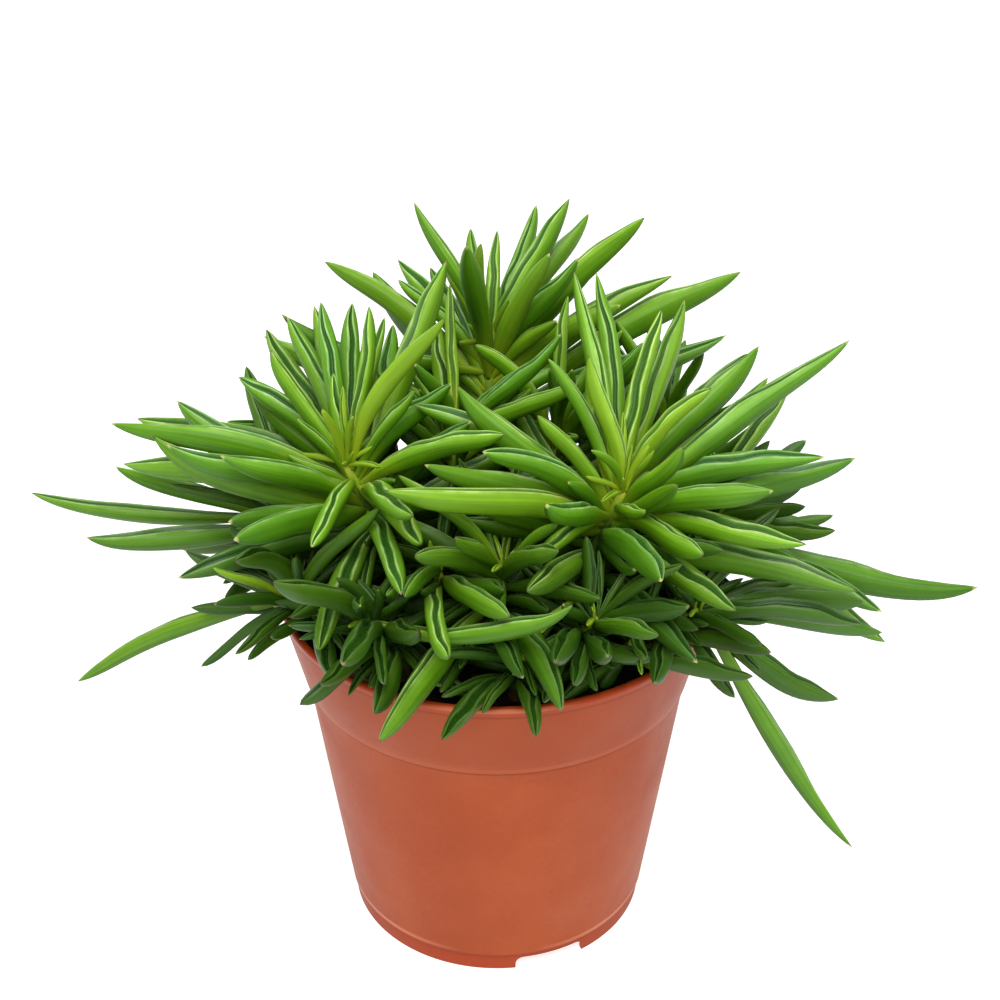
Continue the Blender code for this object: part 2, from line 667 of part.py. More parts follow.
def apply_modifiers(obj):
    """Replaces an object's mesh with its evaluated one."""
    view = bpy.context.evaluated_depsgraph_get()
    result = bpy.data.meshes.new_from_object(obj.evaluated_get(view), depsgraph=view)
    old = obj.data
    obj.modifiers.clear()
    obj.data = result
    bpy.data.meshes.remove(old)


def arc(center, radius, start, end, steps):
    """Points of a round stretch of an outline, angles in degrees."""
    points = []
    for k in range(steps + 1):
        angle = math.radians(start + (end - start) * k / steps)
        points.append((center[0] + radius * math.cos(angle), center[1] + radius * math.sin(angle)))
    return points


def pot_profile():
    """The pot's wall in section: up the outside, over the rolled lip and down the inside."""
    lip = LIP / 2
    lip_center = (RIM_RADIUS - lip, POT_HEIGHT - lip)
    outside = [
        (FOOT_RADIUS - FOOT_WALL, 0.0),
        (FOOT_RADIUS, 0.0),
        (FOOT_RADIUS, BODY_FOOT - FOOT_TUCK),
    ]
    outside += arc((BODY_RADIUS - BODY_EDGE, BODY_FOOT), BODY_EDGE, -70, 10, 1)
    outside += [(BAND_RADIUS - LEDGE, BAND_FOOT - LEDGE_SLOPE), (BAND_RADIUS, BAND_FOOT)]
    outside += arc(lip_center, lip, -20, 180, 5)
    inside = wall_inside()[1:] + [
        (0.0, FLOOR_HIGH),
        (0.0, FLOOR_LOW),
        (FOOT_RADIUS - FOOT_WALL, FLOOR_LOW),
    ]
    return outside + inside


def around(obj_mesh, angle, radius, height):
    """Moves a cutter's mesh to its place on a circle round the pot's axis."""
    turn = Matrix.Rotation(math.radians(angle), 4, "Z")
    obj_mesh.transform(turn @ Matrix.Translation((radius, 0, height)))
    return obj_mesh


def notch_mesh():
    """A notch in the foot ring, with its upper corners rounded."""
    bm = bmesh.new()
    bmesh.ops.create_cube(bm, size=1.0)
    bmesh.ops.scale(bm, verts=bm.verts, vec=(NOTCH_DEPTH, NOTCH_WIDTH, 2 * NOTCH_HEIGHT))
    corners = [
        e for e in bm.edges
        if all(v.co.z > 0 for v in e.verts) and abs(e.verts[0].co.y - e.verts[1].co.y) < MM
    ]
    bmesh.ops.bevel(
        bm, geom=corners, offset=NOTCH_CORNER, segments=3, profile=0.5, affect="EDGES", material=-1,
    )
    return mesh_from_bmesh(bm, "notch")


def drain_mesh():
    """A round hole through the floor."""
    bm = bmesh.new()
    bmesh.ops.create_cone(
        bm, cap_ends=True, segments=12, radius1=DRAIN_RADIUS, radius2=DRAIN_RADIUS, depth=DRAIN_DEPTH,
    )
    return mesh_from_bmesh(bm, "drain")


def make_pot():
    """The nursery pot: thin tapered wall, rim band, rolled lip, foot ring and drainage holes."""
    mesh = mesh_from_bmesh(spin_profile(pot_profile(), POT_SIDES), "pot")
    pot = new_object("pot", mesh, new_material("terracotta plastic", (0.48, 0.115, 0.045), 0.38))
    for k in range(NOTCHES):
        angle = NOTCH_FIRST + 360 * k / NOTCHES
        cut(pot, cutter("notch_cutter", around(notch_mesh(), angle, FOOT_RADIUS, 0.0)))
    for k in range(DRAINS):
        angle = DRAIN_FIRST + 360 * k / DRAINS
        cut(pot, cutter("drain_cutter", around(drain_mesh(), angle, DRAIN_CIRCLE, FLOOR_HIGH)))
    pot.data.shade_smooth()
    pot.data.set_sharp_from_angle(angle=math.radians(SMOOTH_ANGLE))
    return pot


def soil_profile():
    """The plug of soil in section, a gap clear of the pot's wall."""
    heights = (FLOOR_HIGH + GAP, BAND_FOOT - INNER_SLOPE, BAND_FOOT + LEDGE_SLOPE, SOIL_TOP - SOIL_EDGE)
    side = [(pot_inside(height), height) for height in heights]
    top_radius = pot_inside(SOIL_TOP) - SOIL_EDGE
    top = [(top_radius * share, SOIL_TOP) for share in SOIL_RINGS]
    return [(0.0, heights[0])] + side + top + [(0.0, SOIL_TOP)]


def hole_mesh(x, y):
    """A plain hole for a stem."""
    bm = bmesh.new()
    radius = (STEM_RADIUS + HOLE_CLEARANCE) * MM
    depth = HOLE_DEPTH + HOLE_ABOVE
    bmesh.ops.create_cone(
        bm, cap_ends=True, segments=HOLE_SIDES, radius1=radius, radius2=radius, depth=depth,
    )
    middle = SOIL_TOP - HOLE_DEPTH + depth / 2
    bmesh.ops.translate(bm, verts=bm.verts, vec=(x * MM, y * MM, middle))
    return mesh_from_bmesh(bm, "stem hole")


def soil_shape():
    """The plug of soil with its lumpy top, as an open bmesh."""
    bm = spin_profile(soil_profile(), SOIL_SIDES)
    for vert in bm.verts:
        if vert.co.z > SOIL_TOP - SOIL_EDGE / 2:
            vert.co.z = soil_height(vert.co.x, vert.co.y)
    bmesh.ops.triangulate(bm, faces=bm.faces)
    return bm


def make_soil():
    """The potting soil with a plain hole for each stem."""
    earth = new_material("soil", (0.022, 0.014, 0.009), 0.95)
    soil = new_object("soil", mesh_from_bmesh(soil_shape(), "soil"), earth)
    for shoot in SHOOTS.values():
        cut(soil, cutter("stem_hole_cutter", hole_mesh(*shoot["foot"])))
    return soil


def make_chip(index, chip):
    """A pale chip of bark lying on the soil."""
    material = new_material("bark %d" % index, (0.55, 0.40, 0.26), 0.8)
    return new_object("bark_chip_%d" % index, mesh_from_bmesh(chip_shape(*chip), "bark chip"), material)


def keep_largest_shell(mesh):
    """Drops loose scraps and fills sealed hollows, which are shells of their own."""
    bm = bmesh.new()
    bm.from_mesh(mesh)
    shells = []
    seen = set()
    for face in bm.faces:
        if face in seen:
            continue
        shell = []
        stack = [face]
        seen.add(face)
        while stack:
            current = stack.pop()
            shell.append(current)
            for edge in current.edges:
                for other in edge.link_faces:
                    if other not in seen:
                        seen.add(other)
                        stack.append(other)
        shells.append(shell)
    shells.sort(key=len)
    scraps = [face for shell in shells[:-1] for face in shell]
    bmesh.ops.delete(bm, geom=scraps, context="FACES")
    bm.to_mesh(mesh)
    bm.free()


def make_shoot(name, shoot, leaves, material):
    """One leafy stem: its leaves joined to the stem in one solid."""
    stem = new_object(name, mesh_from(*stem_mesh(shoot), name), material)
    group = bpy.data.collections.new(name + " leaves")
    bpy.context.scene.collection.children.link(group)
    for leaf in leaves:
        blade = bpy.data.objects.new(name + " leaf", mesh_from(*leaf_mesh(leaf), name + " leaf"))
        group.objects.link(blade)
    join = stem.modifiers.new("join", "BOOLEAN")
    join.operation = "UNION"
    join.operand_type = "COLLECTION"
    join.collection = group
    join.solver = "MANIFOLD"
    apply_modifiers(stem)
    for blade in list(group.objects):
        bpy.data.objects.remove(blade)
    bpy.data.collections.remove(group)
    keep_largest_shell(stem.data)
    return stem


def build():
    """Clears the scene and makes every piece."""
    for obj in list(bpy.data.objects):
        bpy.data.objects.remove(obj)
    make_pot()
    make_soil()
    for index, chip in enumerate(CHIPS, 1):
        make_chip(index, chip)
    for name, leaves in grow_plant().items():
        green = new_material(name + " green", (0.13, 0.32, 0.03), 0.42)
        make_shoot(name, SHOOTS[name], leaves, green)


build()
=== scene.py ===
import math
import random

import bmesh
import bpy
from mathutils import Matrix, Vector, noise
from mathutils.bvhtree import BVHTree


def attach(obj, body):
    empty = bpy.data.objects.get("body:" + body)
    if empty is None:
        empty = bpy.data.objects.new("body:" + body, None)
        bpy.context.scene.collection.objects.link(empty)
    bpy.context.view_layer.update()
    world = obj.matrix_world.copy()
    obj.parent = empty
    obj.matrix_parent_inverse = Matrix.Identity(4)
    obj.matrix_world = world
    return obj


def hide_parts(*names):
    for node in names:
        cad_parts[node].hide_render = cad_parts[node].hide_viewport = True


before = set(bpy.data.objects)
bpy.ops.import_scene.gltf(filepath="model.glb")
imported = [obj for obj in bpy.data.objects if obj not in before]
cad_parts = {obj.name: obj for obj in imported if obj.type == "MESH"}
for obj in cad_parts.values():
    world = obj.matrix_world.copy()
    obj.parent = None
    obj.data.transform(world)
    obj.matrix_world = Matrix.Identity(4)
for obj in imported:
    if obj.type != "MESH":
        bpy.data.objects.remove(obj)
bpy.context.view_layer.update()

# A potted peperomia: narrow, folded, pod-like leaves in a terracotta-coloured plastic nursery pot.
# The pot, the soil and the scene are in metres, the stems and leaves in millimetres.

mm = 0.001
print("frame loaded,", len(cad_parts), "nodes")

# The pot, and what is in it

pot = {
    "rimRadius": 0.0600, "height": 0.1035, "bandFoot": 0.0790, "bandRadius": 0.0544, "ledge": 0.0008,
    "ledgeSlope": 0.0006, "innerSlope": 0.0020, "bodyFoot": 0.0062, "bodyRadius": 0.0439, "bodyEdge": 0.0006,
    "footRadius": 0.0429, "footWall": 0.0016, "footTuck": 0.0012, "wall": 0.0013, "lip": 0.0022,
    "floorLow": 0.0042, "floorHigh": 0.0058, "floorEdge": 0.0008, "cadSides": 36, "sides": 144, "gap": 0.0003,
    "footChamfer": 0.0003, "edgeArc": (-80, 8, 5), "bodyStart": (0.0001, 0.0008), "bodyRings": 8,
    "bandEdge": ((-0.0002, -0.0001), (0.0, 0.0003)), "lipArc": (-20, 180, 12),
    "notches": 3, "notchFirst": 291, "notchWidth": 0.0205, "notchHeight": 0.0040, "notchCorner": 0.0022,
    "notchDepth": 0.0120, "notchSegments": 6, "drains": 6, "drainFirst": 15, "drainRadius": 0.0042,
    "drainCircle": 0.0250, "drainDepth": 0.0060, "drainSides": 32, "merge": 0.000005, "smoothAngle": 35,
}

soil = {
    "top": 0.0950, "lump": 0.0009, "lumpAcross": 0.011, "lumpAlong": 0.012, "edge": 0.0014,
    "waves": ((1.0, 0.6, 0.0, 1.0), (-0.8, 1.7, 1.0, 1.0), (2.9, 2.3, 0.0, 0.6)),
    "sides": 120, "rings": 30, "grain": 0.0007, "grainSize": 0.0028, "grainNoise": (0.9, 2.0, 3),
    "holeDepth": 0.0220, "smoothAngle": 50,
}

chips = {
    # x, y, length and turn of each chip, in millimetres and degrees
    "rows": ((-34, -38, 9, 138), (-8, 45, 9, 120), (40, 22, 8, 200)),
    "reach": 0.62, "stand": 0.0042, "width": 0.42, "thickness": 0.0022, "roughness": 0.09,
    "bevel": 0.0003, "grainScale": 900, "grain": 0.00022, "smoothAngle": 40,
}

# Stems and leaves, in millimetres and degrees

stem = {
    "radius": 2.0, "taper": 0.08, "upright": 0.7, "cadSides": 5, "lean": 97.5, "cadStations": (0.0, 0.5, 1.0),
    "sides": 14, "stations": 12, "node": 0.10, "nodes": 5, "buried": 0.8, "slimmer": 0.30, "topEnd": 0.6,
}

leafForm = {
    "longStations": (0.0, 0.28, 0.60, 0.86), "shortStations": (0.0, 0.38, 0.78), "longLeaf": 54,
    "goldenAngle": 137.5, "arch": 0.07, "archSpread": 0.05, "bowSpread": 0.045, "archTurn": 2.4, "bowTurn": 1.7,
    "rootSpread": 0.03, "rootTurn": 6, "depth": (4.2, 0.045), "plainDepth": (1.0, 0.108), "deepest": 7.8,
    "heartFrom": 0.82, "heartSlim": 0.34, "width": 0.86, "hook": 0.03, "hookPower": 6, "upright": 0.05,
    "keel": 0.56, "margin": 0.40, "groove": 0.14, "foot": 0.18, "fullFrom": 0.50, "tipPower": 5,
    "tipRound": 0.85, "rootStep": 0.7, "clearance": 0.45, "soilClearance": 0.0010, "edgeStep": 1.5,
}

ruleLeaves = {
    "youngFirst": 40, "youngRise": (78, 50), "youngLength": (13, 22), "youngLoose": 1,
    "fillRise": (48, 6), "fillDroop": 0.85, "fillTurnStep": 31, "fillLoose": (0.85, 1.1), "fillArch": 0.08,
    "looseTurn": 12, "looseRise": 8,
}

# Each leafy stem: where it leaves the soil and where its crown is; its plain leaves (how many, from which share of
# its height down to which, and how long at each end); its seed; how much longer its leaves are towards the back;
# and how many young leaves stand round its heart.
shootColumns = ("foot", "top", "fill", "seed", "away", "young")
shootRows = {
    "crown_right": ((20, -14), (32, -27, 147), (17, 0.88, 0.1, 46, 38), 3, 1.25, 4),
    "crown_left": ((-25, -6), (-39, -13, 147), (16, 0.88, 0.1, 44, 38), 5, 1.25, 4),
    "crown_back": ((-2, 22), (-2, 36, 159), (16, 0.88, 0.15, 46, 42), 7, 1.0, 4),
    "shoot_rim_left": ((-45, -18), (-54, -25, 113), (12, 1.0, 0.4, 26, 28), 53, 1.0, 0),
    "shoot_far_left": ((-40, 6), (-60, 6, 121), (13, 0.9, 0.2, 42, 36), 11, 1.2, 0),
    "shoot_far_right": ((42, 6), (60, 4, 121), (13, 0.9, 0.2, 40, 36), 13, 1.2, 0),
    "shoot_low_right": ((40, -24), (52, -31, 114), (10, 0.9, 0.3, 32, 34), 17, 1.1, 0),
    "shoot_centre": ((-2, -24), (2, -37, 131), (18, 0.95, 0.2, 32, 36), 23, 1.0, 0),
    "shoot_low_left": ((-24, -34), (-33, -42, 118), (14, 0.9, 0.2, 28, 32), 19, 1.1, 0),
    "shoot_middle": ((-13, -16), (-15, -30, 125), (16, 0.98, 0.3, 30, 32), 43, 1.0, 0),
    "shoot_inner": ((-9, 4), (-12, 6, 146), (13, 1.0, 0.35, 40, 38), 61, 1.0, 0),
    "shoot_inner_right": ((13, 11), (17, 14, 142), (14, 1.0, 0.3, 42, 38), 73, 1.0, 0),
    "shoot_front": ((17, -34), (25, -46, 121), (14, 0.95, 0.2, 26, 30), 29, 1.0, 0),
    "shoot_rim_front": ((5, -42), (6, -50, 113), (12, 1.0, 0.35, 22, 24), 47, 1.0, 0),
    "shoot_low_front": ((31, -33), (36, -41, 112), (9, 1.0, 0.35, 22, 22), 67, 1.0, 0),
    "shoot_rim_right": ((45, 20), (55, 26, 116), (12, 1.0, 0.4, 28, 30), 59, 1.0, 0),
    "shoot_back_right": ((30, 30), (50, 42, 128), (17, 0.95, 0.2, 42, 44), 31, 1.0, 0),
    "shoot_back_left": ((-30, 30), (-48, 44, 122), (17, 0.95, 0.2, 42, 42), 37, 1.0, 0),
    "shoot_back_low": ((2, 43), (4, 52, 122), (16, 0.95, 0.25, 36, 36), 41, 1.0, 0),
}
shoots = {name: dict(zip(shootColumns, row)) for name, row in shootRows.items()}

# The large leaves one by one: how far up its stem each grows, from 0 to 1, then its tip x, y, z, then its arch and
# bow if it has its own
largeLeaves = {
    "crown_right": (
        (0.98, 19, 6, 191), (0.96, 25, 16, 187), (1.0, 21, -20, 180), (1.0, 43, -4, 186), (0.98, 48, 4, 184),
        (0.95, 67, 0, 173), (0.92, 70, -10, 169), (1.0, 53, -24, 174), (0.95, 89, -8, 178), (0.85, 92, -16, 149),
        (0.9, 81, -30, 157), (1.0, 46, -36, 163), (0.8, 67, -42, 155), (0.8, 75, -46, 141), (0.9, 49, -56, 145),
        (0.7, 57, -60, 131), (1.0, 36, -46, 151), (0.75, 33, -54, 139), (1.0, 23, -38, 164), (0.85, 12, -54, 156),
        (0.9, -3, -42, 164), (0.65, 7, -64, 139), (0.95, -11, -14, 168), (0.85, -21, -16, 165),
        (0.85, -18, -34, 157), (0.8, -27, -42, 154), (0.6, 90, -40, 124), (0.8, -8, -50, 158), (0.5, 47, -64, 119),
    ),
    "crown_left": (
        (1.0, -33, 4, 184), (1.0, -11, -16, 188), (0.95, -45, 14, 181), (0.92, -56, 18, 174), (0.95, -68, 2, 164),
        (0.9, -85, 2, 157), (0.85, -102, 4, 149), (0.85, -98, 14, 144), (0.9, -85, -14, 150), (0.8, -99, 0, 137),
        (0.8, -65, -42, 146), (0.85, -62, -50, 144), (0.9, -44, -52, 144), (0.9, -18, -50, 144),
        (0.75, -22, -54, 133), (0.6, -82, -30, 123), (1.0, -43, -2, 168), (0.9, -63, 24, 166), (0.6, -42, -64, 122),
        (0.9, 3, -30, 163, 0.09, 0.0), (0.95, -11, -4, 165), (0.95, -12, 14, 192),
    ),
    "crown_back": (
        (1.0, -24, 46, 196), (1.0, -8, 52, 187), (1.0, -5, 28, 191), (0.95, -9, 14, 196), (1.0, 13, 58, 191),
        (1.0, 20, 44, 199), (0.95, 26, 54, 190), (0.9, 33, 50, 186), (0.9, 41, 38, 195), (1.0, 23, 30, 186),
        (1.0, 15, 22, 191), (0.8, 49, 44, 176), (0.75, 68, 40, 178), (0.65, 64, 30, 162), (0.85, -49, 50, 177),
        (0.8, -36, 66, 168), (0.9, -28, 70, 169), (0.65, -61, 34, 166), (0.6, -67, 44, 156),
    ),
    "shoot_rim_left": ((1.0, -114, -16, 81), (1.0, -77, -34, 98)),
    "shoot_far_left": (
        (1.0, -128, 6, 127, -0.02, 0.0), (0.9, -110, -8, 119, 0.02, 0.0), (1.0, -105, 14, 130),
        (0.75, -72, -20, 110),
    ),
    "shoot_far_right": (
        (0.8, 130, -12, 107, -0.02, 0.0), (0.7, 103, -16, 102), (1.0, 92, 2, 122), (0.9, 92, 10, 113),
        (0.9, 108, 0, 82, 0.08, 0.0), (1.0, 89, -14, 126),
    ),
    "shoot_low_right": (
        (1.0, 98, -34, 38, 0.0, 0.0), (0.8, 90, -34, 86, 0.02, 0.0), (0.9, 67, -44, 103), (0.8, 61, -46, 97),
        (0.9, 97, -20, 109), (1.0, 69, -40, 116),
    ),
    "shoot_centre": ((0.6, -27, -80, 108), (0.9, -20, -56, 145), (0.4, 13, -62, 110), (0.3, 17, -70, 110)),
    "shoot_low_left": (
        (0.6, -48, -56, 101), (0.5, -28, -72, 110), (0.5, -16, -74, 102), (1.0, -33, -62, 135),
        (0.8, -19, -66, 129), (1.0, -29, -50, 132), (1.0, 19, -72, 140, -0.06, 0.0),
    ),
    "shoot_middle": ((0.9, -12, -66, 122), (1.0, -22, -60, 136), (0.95, 2, -60, 138)),
    "shoot_inner": ((1.0, 17, 4, 176), (0.95, 22, -2, 163), (0.9, 6, -4, 169), (0.9, -16, 24, 170)),
    "shoot_inner_right": ((0.95, 30, -2, 164), (1.0, 40, 10, 170), (1.0, -6, -4, 177)),
    "shoot_front": (
        (1.0, 26, -34, 134), (1.0, 33, -40, 133), (0.6, 19, -68, 116), (0.8, 26, -68, 124), (0.5, 35, -62, 119),
        (1.0, 16, -58, 132), (1.0, 31, -58, 126), (0.6, 48, -50, 126), (0.5, 40, -56, 116), (0.7, 13, -66, 121),
    ),
    "shoot_low_front": ((0.6, 44, -44, 105), (0.9, 36, -58, 116), (0.7, 26, -56, 107), (0.6, 16, -54, 102)),
}

# Small sums that many parts use


def between(pair, share):
    return pair[0] + (pair[1] - pair[0]) * share


def clamped(value, low=0.0):
    return min(1.0, max(low, value))


# Where the pot and the soil are


def soilHeight(x, y):
    waves = 0.0
    for across, along, phase, height in soil["waves"]:
        waves += height * math.sin(across * x / soil["lumpAcross"] + along * y / soil["lumpAlong"] + phase)
    return soil["top"] + soil["lump"] * waves


def groundHeight(x, y):
    height = soilHeight(x, y)
    for chipX, chipY, length, _ in chips["rows"]:
        if math.hypot(x - chipX * mm, y - chipY * mm) < length * chips["reach"] * mm:
            height = max(height, soilHeight(chipX * mm, chipY * mm) + chips["stand"])
    return height


def potOutside(z):
    if z >= pot["bandFoot"]:
        share = (z - pot["bandFoot"]) / (pot["height"] - pot["bandFoot"])
        return between((pot["bandRadius"], pot["rimRadius"]), share)
    share = max(0.0, (z - pot["bodyFoot"]) / (pot["bandFoot"] - pot["bodyFoot"]))
    return between((pot["bodyRadius"], pot["bandRadius"] - pot["ledge"]), share)


def wallInside():
    # radius and height, from the top down
    return [
        (pot["rimRadius"] - pot["lip"], pot["height"] - pot["lip"] / 2),
        (pot["bandRadius"] - pot["wall"], pot["bandFoot"] + pot["ledgeSlope"]),
        (pot["bandRadius"] - pot["ledge"] - pot["wall"], pot["bandFoot"] - pot["innerSlope"]),
        (pot["bodyRadius"] - pot["wall"] - pot["floorEdge"], pot["floorHigh"]),
    ]


def potInside(z):
    outline = wallInside()
    z = min(z, outline[0][1])
    for (highRadius, high), (lowRadius, low) in zip(outline, outline[1:]):
        if z >= low:
            break
    radius = between((lowRadius, highRadius), (z - low) / (high - low))
    return radius * math.cos(math.pi / pot["cadSides"]) - pot["gap"]


def clearOfPot(point):
    x, y, z = point
    margin = leafForm["clearance"] * mm
    if z > pot["height"] + margin:
        return True
    radius = math.hypot(x, y)
    if radius > potOutside(z) + margin:
        return True
    return radius < potInside(z) - margin and z > groundHeight(x, y) + leafForm["soilClearance"]


# Where each leaf grows: the same plain leaves as the solids, each bent clear of the rest


def stemPoint(shoot, share):
    foot = Vector((*shoot["foot"], stem["lean"]))
    top = Vector(shoot["top"])
    bend = foot.lerp(top, 1 - stem["upright"])
    bend.z = (foot.z + top.z) / 2
    return foot * (1 - share) ** 2 + bend * 2 * share * (1 - share) + top * share ** 2


def fullness(form, share, power, tipRound):
    foot = form["foot"] + (1 - form["foot"]) * math.sin(min(share / form["fullFrom"], 1) * math.pi / 2)
    return foot * (1 - share ** power) ** tipRound


def leafSection(leaf, share, grow):
    full = fullness(leafForm, share, leafForm["tipPower"], leafForm["tipRound"])
    half = leaf["width"] / 2 * full + grow
    deep = leaf["depth"] * full
    keel = (0.0, -leafForm["keel"] * deep - grow)
    rise = leafForm["margin"] * deep + grow
    if leaf["plain"]:
        return keel, (half, rise), (-half, rise)
    return keel, (half, rise), (0.0, leafForm["groove"] * deep), (-half, rise)


def leafPlace(leaf, share):
    # a point on the leaf's midline, with the ways across it and up from it
    chord = leaf["tip"] - leaf["base"]
    length = chord.length
    side = Vector((-chord.y, chord.x, 0))
    if side.length < leafForm["upright"] * length:
        side = Vector((-leaf["out"].y, leaf["out"].x, 0))
    side.normalize()
    lift = chord.cross(side).normalized()
    if lift.z < 0:
        lift = -lift
    bulge = 4 * share * (1 - share)
    slope = 4 * (1 - 2 * share)
    sway = lift * leaf["arch"] + side * leaf["bow"]
    point = leaf["base"] + chord * share + sway * (length * bulge)
    tangent = (chord + sway * (length * slope)).normalized()
    up = (lift - tangent * lift.dot(tangent)).normalized()
    point = point + up * (leafForm["hook"] * length * (share ** leafForm["hookPower"] - share))
    return point, up.cross(tangent), up


def leafRings(leaf, grow=0.0, start=0):
    long = not leaf["plain"] and (leaf["tip"] - leaf["base"]).length > leafForm["longLeaf"]
    stations = leafForm["longStations"] if long else leafForm["shortStations"]
    rings = []
    for share in stations[start:]:
        point, across, up = leafPlace(leaf, share)
        rings.append([point + across * x + up * y for x, y in leafSection(leaf, share, grow)])
    return rings, leafPlace(leaf, 1.0)[0]


def ringFaces(count, rings):
    # the flat foot of a row of rings, and the triangles between them
    faces = [tuple(range(count - 1, -1, -1))]
    for ring in range(rings - 1):
        for k in range(count):
            a = ring * count + k
            b = ring * count + (k + 1) % count
            faces += [(a, b, b + count), (a, b + count, a + count)]
    return faces


def leafHull(leaf, grow=0.0, start=0):
    rings, tip = leafRings(leaf, grow, start)
    points = [p * mm for ring in rings for p in ring] + [tip * mm]
    count = len(rings[0])
    last = (len(rings) - 1) * count
    end = [(last + k, last + (k + 1) % count, len(points) - 1) for k in range(count)]
    return points, ringFaces(count, len(rings)) + end


def newLeaf(shoot, share, tip, arch, bow, plain):
    base = stemPoint(shoot, share)
    out = Vector((shoot["top"][0] - shoot["foot"][0], shoot["top"][1] - shoot["foot"][1], 0))
    flat = Vector((tip.x - base.x, tip.y - base.y, 0))
    base = base + flat.normalized() * leafForm["rootStep"]
    length = (tip - base).length
    least, slope = leafForm["plainDepth"] if plain else leafForm["depth"]
    depth = min(least + slope * length, leafForm["deepest"])
    depth *= 1 - leafForm["heartSlim"] * max(0.0, share - leafForm["heartFrom"]) / (1 - leafForm["heartFrom"])
    return {
        "base": base, "tip": tip, "arch": arch, "bow": bow, "share": share,
        "depth": depth, "width": depth * leafForm["width"], "out": out, "plain": plain,
    }


def meetsPot(leaf):
    rings, tip = leafRings(leaf)
    for ring, after in zip(rings, rings[1:] + [[tip] * len(rings[0])]):
        for start, end in zip(ring, after):
            steps = math.ceil((end - start).length / leafForm["edgeStep"])
            for k in range(steps):
                if not clearOfPot(start.lerp(end, (k + 1) / steps) * mm):
                    return True
    return False


def boxOf(points):
    return [[pick(p[k] for p in points) for k in range(3)] for pick in (min, max)]


def crosses(leaf, name, placed):
    if meetsPot(leaf):
        return True
    points, faces = leafHull(leaf, leafForm["clearance"])
    low, high = boxOf(points)
    tree = BVHTree.FromPolygons(points, faces)
    outerTree = BVHTree.FromPolygons(*leafHull(leaf, leafForm["clearance"], 1))
    for other in placed:
        if any(low[k] > other["high"][k] or high[k] < other["low"][k] for k in range(3)):
            continue
        if other["name"] == name:
            if other["outer"] and outerTree.overlap(other["outer"]):
                return True
        elif tree.overlap(other["tree"]):
            return True
    return False


def keepClear(points, faces, name, placed, outer=None):
    low, high = boxOf(points)
    tree = BVHTree.FromPolygons(points, faces)
    placed.append({"name": name, "low": low, "high": high, "tree": tree, "outer": outer})


# Small changes tried in turn: more arch or bow, and a tip further from or nearer to the eye on the same line
bends = [
    (arch, bow, shift)
    for arch, bow in ((0, 0), (0.03, 0), (-0.04, 0), (0, 0.05), (0, -0.05), (0.07, 0), (0.07, 0.05),
                      (0.07, -0.05), (-0.09, 0.04), (-0.09, -0.04), (0.13, 0))
    for shift in (0, 4, -4, 8, -8, 12, -12)
]
eye = Vector((0.9, -400, 352.7))


def grow(name, share, tip, arch, bow, plain, leaves, placed):
    # the leaf with the first bend that keeps it clear, if there is one
    for moreArch, moreBow, shift in bends:
        end = tip + (tip - eye) * (shift / (tip.y - eye.y))
        leaf = newLeaf(shoots[name], share, end, arch + moreArch, bow + moreBow, plain)
        if not crosses(leaf, name, placed):
            leaves[name].append(leaf)
            keepClear(*leafHull(leaf), name, placed, BVHTree.FromPolygons(*leafHull(leaf, 0.0, 1)))
            return leaf
    return None


def stemFoot(shoot):
    return Vector((*shoot["foot"], (soil["top"] - soil["holeDepth"] + pot["gap"]) / mm))


def stemHull(shoot):
    spine = [stemFoot(shoot)] + [stemPoint(shoot, share) for share in stem["cadStations"]]
    sides = stem["cadSides"]
    points = []
    for index, point in enumerate(spine):
        ahead = spine[min(index + 1, len(spine) - 1)]
        behind = spine[max(index - 1, 0)]
        along = (ahead - behind).normalized()
        if index < 2:
            along = Vector((0, 0, 1))
        across = along.cross(Vector((0, 1, 0))).normalized()
        radius = stem["radius"] * (1 - stem["taper"] * index)
        for k in range(sides):
            angle = 2 * math.pi * k / sides
            spoke = across * math.cos(angle) + along.cross(across) * math.sin(angle)
            points.append((point + spoke * radius) * mm)
    return points, ringFaces(sides, len(spine)) + [tuple(range(len(points) - sides, len(points)))]


def heading(turn, rise):
    # the way that a leaf points, from its turn round the stem and its rise in degrees
    turn, rise = math.radians(turn), math.radians(rise)
    return Vector((math.cos(rise) * math.cos(turn), math.cos(rise) * math.sin(turn), math.sin(rise)))


def youngTip(shoot, index, count, draw):
    rule = ruleLeaves
    turn = leafForm["goldenAngle"] * index + rule["youngFirst"]
    outward = index / count
    length = between(rule["youngLength"], outward) + draw.uniform(-rule["youngLoose"], rule["youngLoose"])
    return Vector(shoot["top"]) + heading(turn, between(rule["youngRise"], outward)) * length


def fillLeaf(shoot, index, draw):
    rule = ruleLeaves
    count, high, low, longHigh, longLow = shoot["fill"]
    down = index / max(count - 1, 1)
    share = between((high, low), down)
    turn = leafForm["goldenAngle"] * index + shoot["seed"] * rule["fillTurnStep"]
    turn += draw.uniform(-rule["looseTurn"], rule["looseTurn"])
    back = math.sin(math.radians(turn))
    rise = between(rule["fillRise"], down) * (1 - rule["fillDroop"] * max(0.0, -back))
    rise += draw.uniform(-rule["looseRise"], rule["looseRise"])
    length = between((longHigh, longLow), down) * draw.uniform(*rule["fillLoose"])
    if back > 0:
        length *= 1 + (shoot["away"] - 1) * back
    return share, stemPoint(shoot, share) + heading(turn, rise) * length


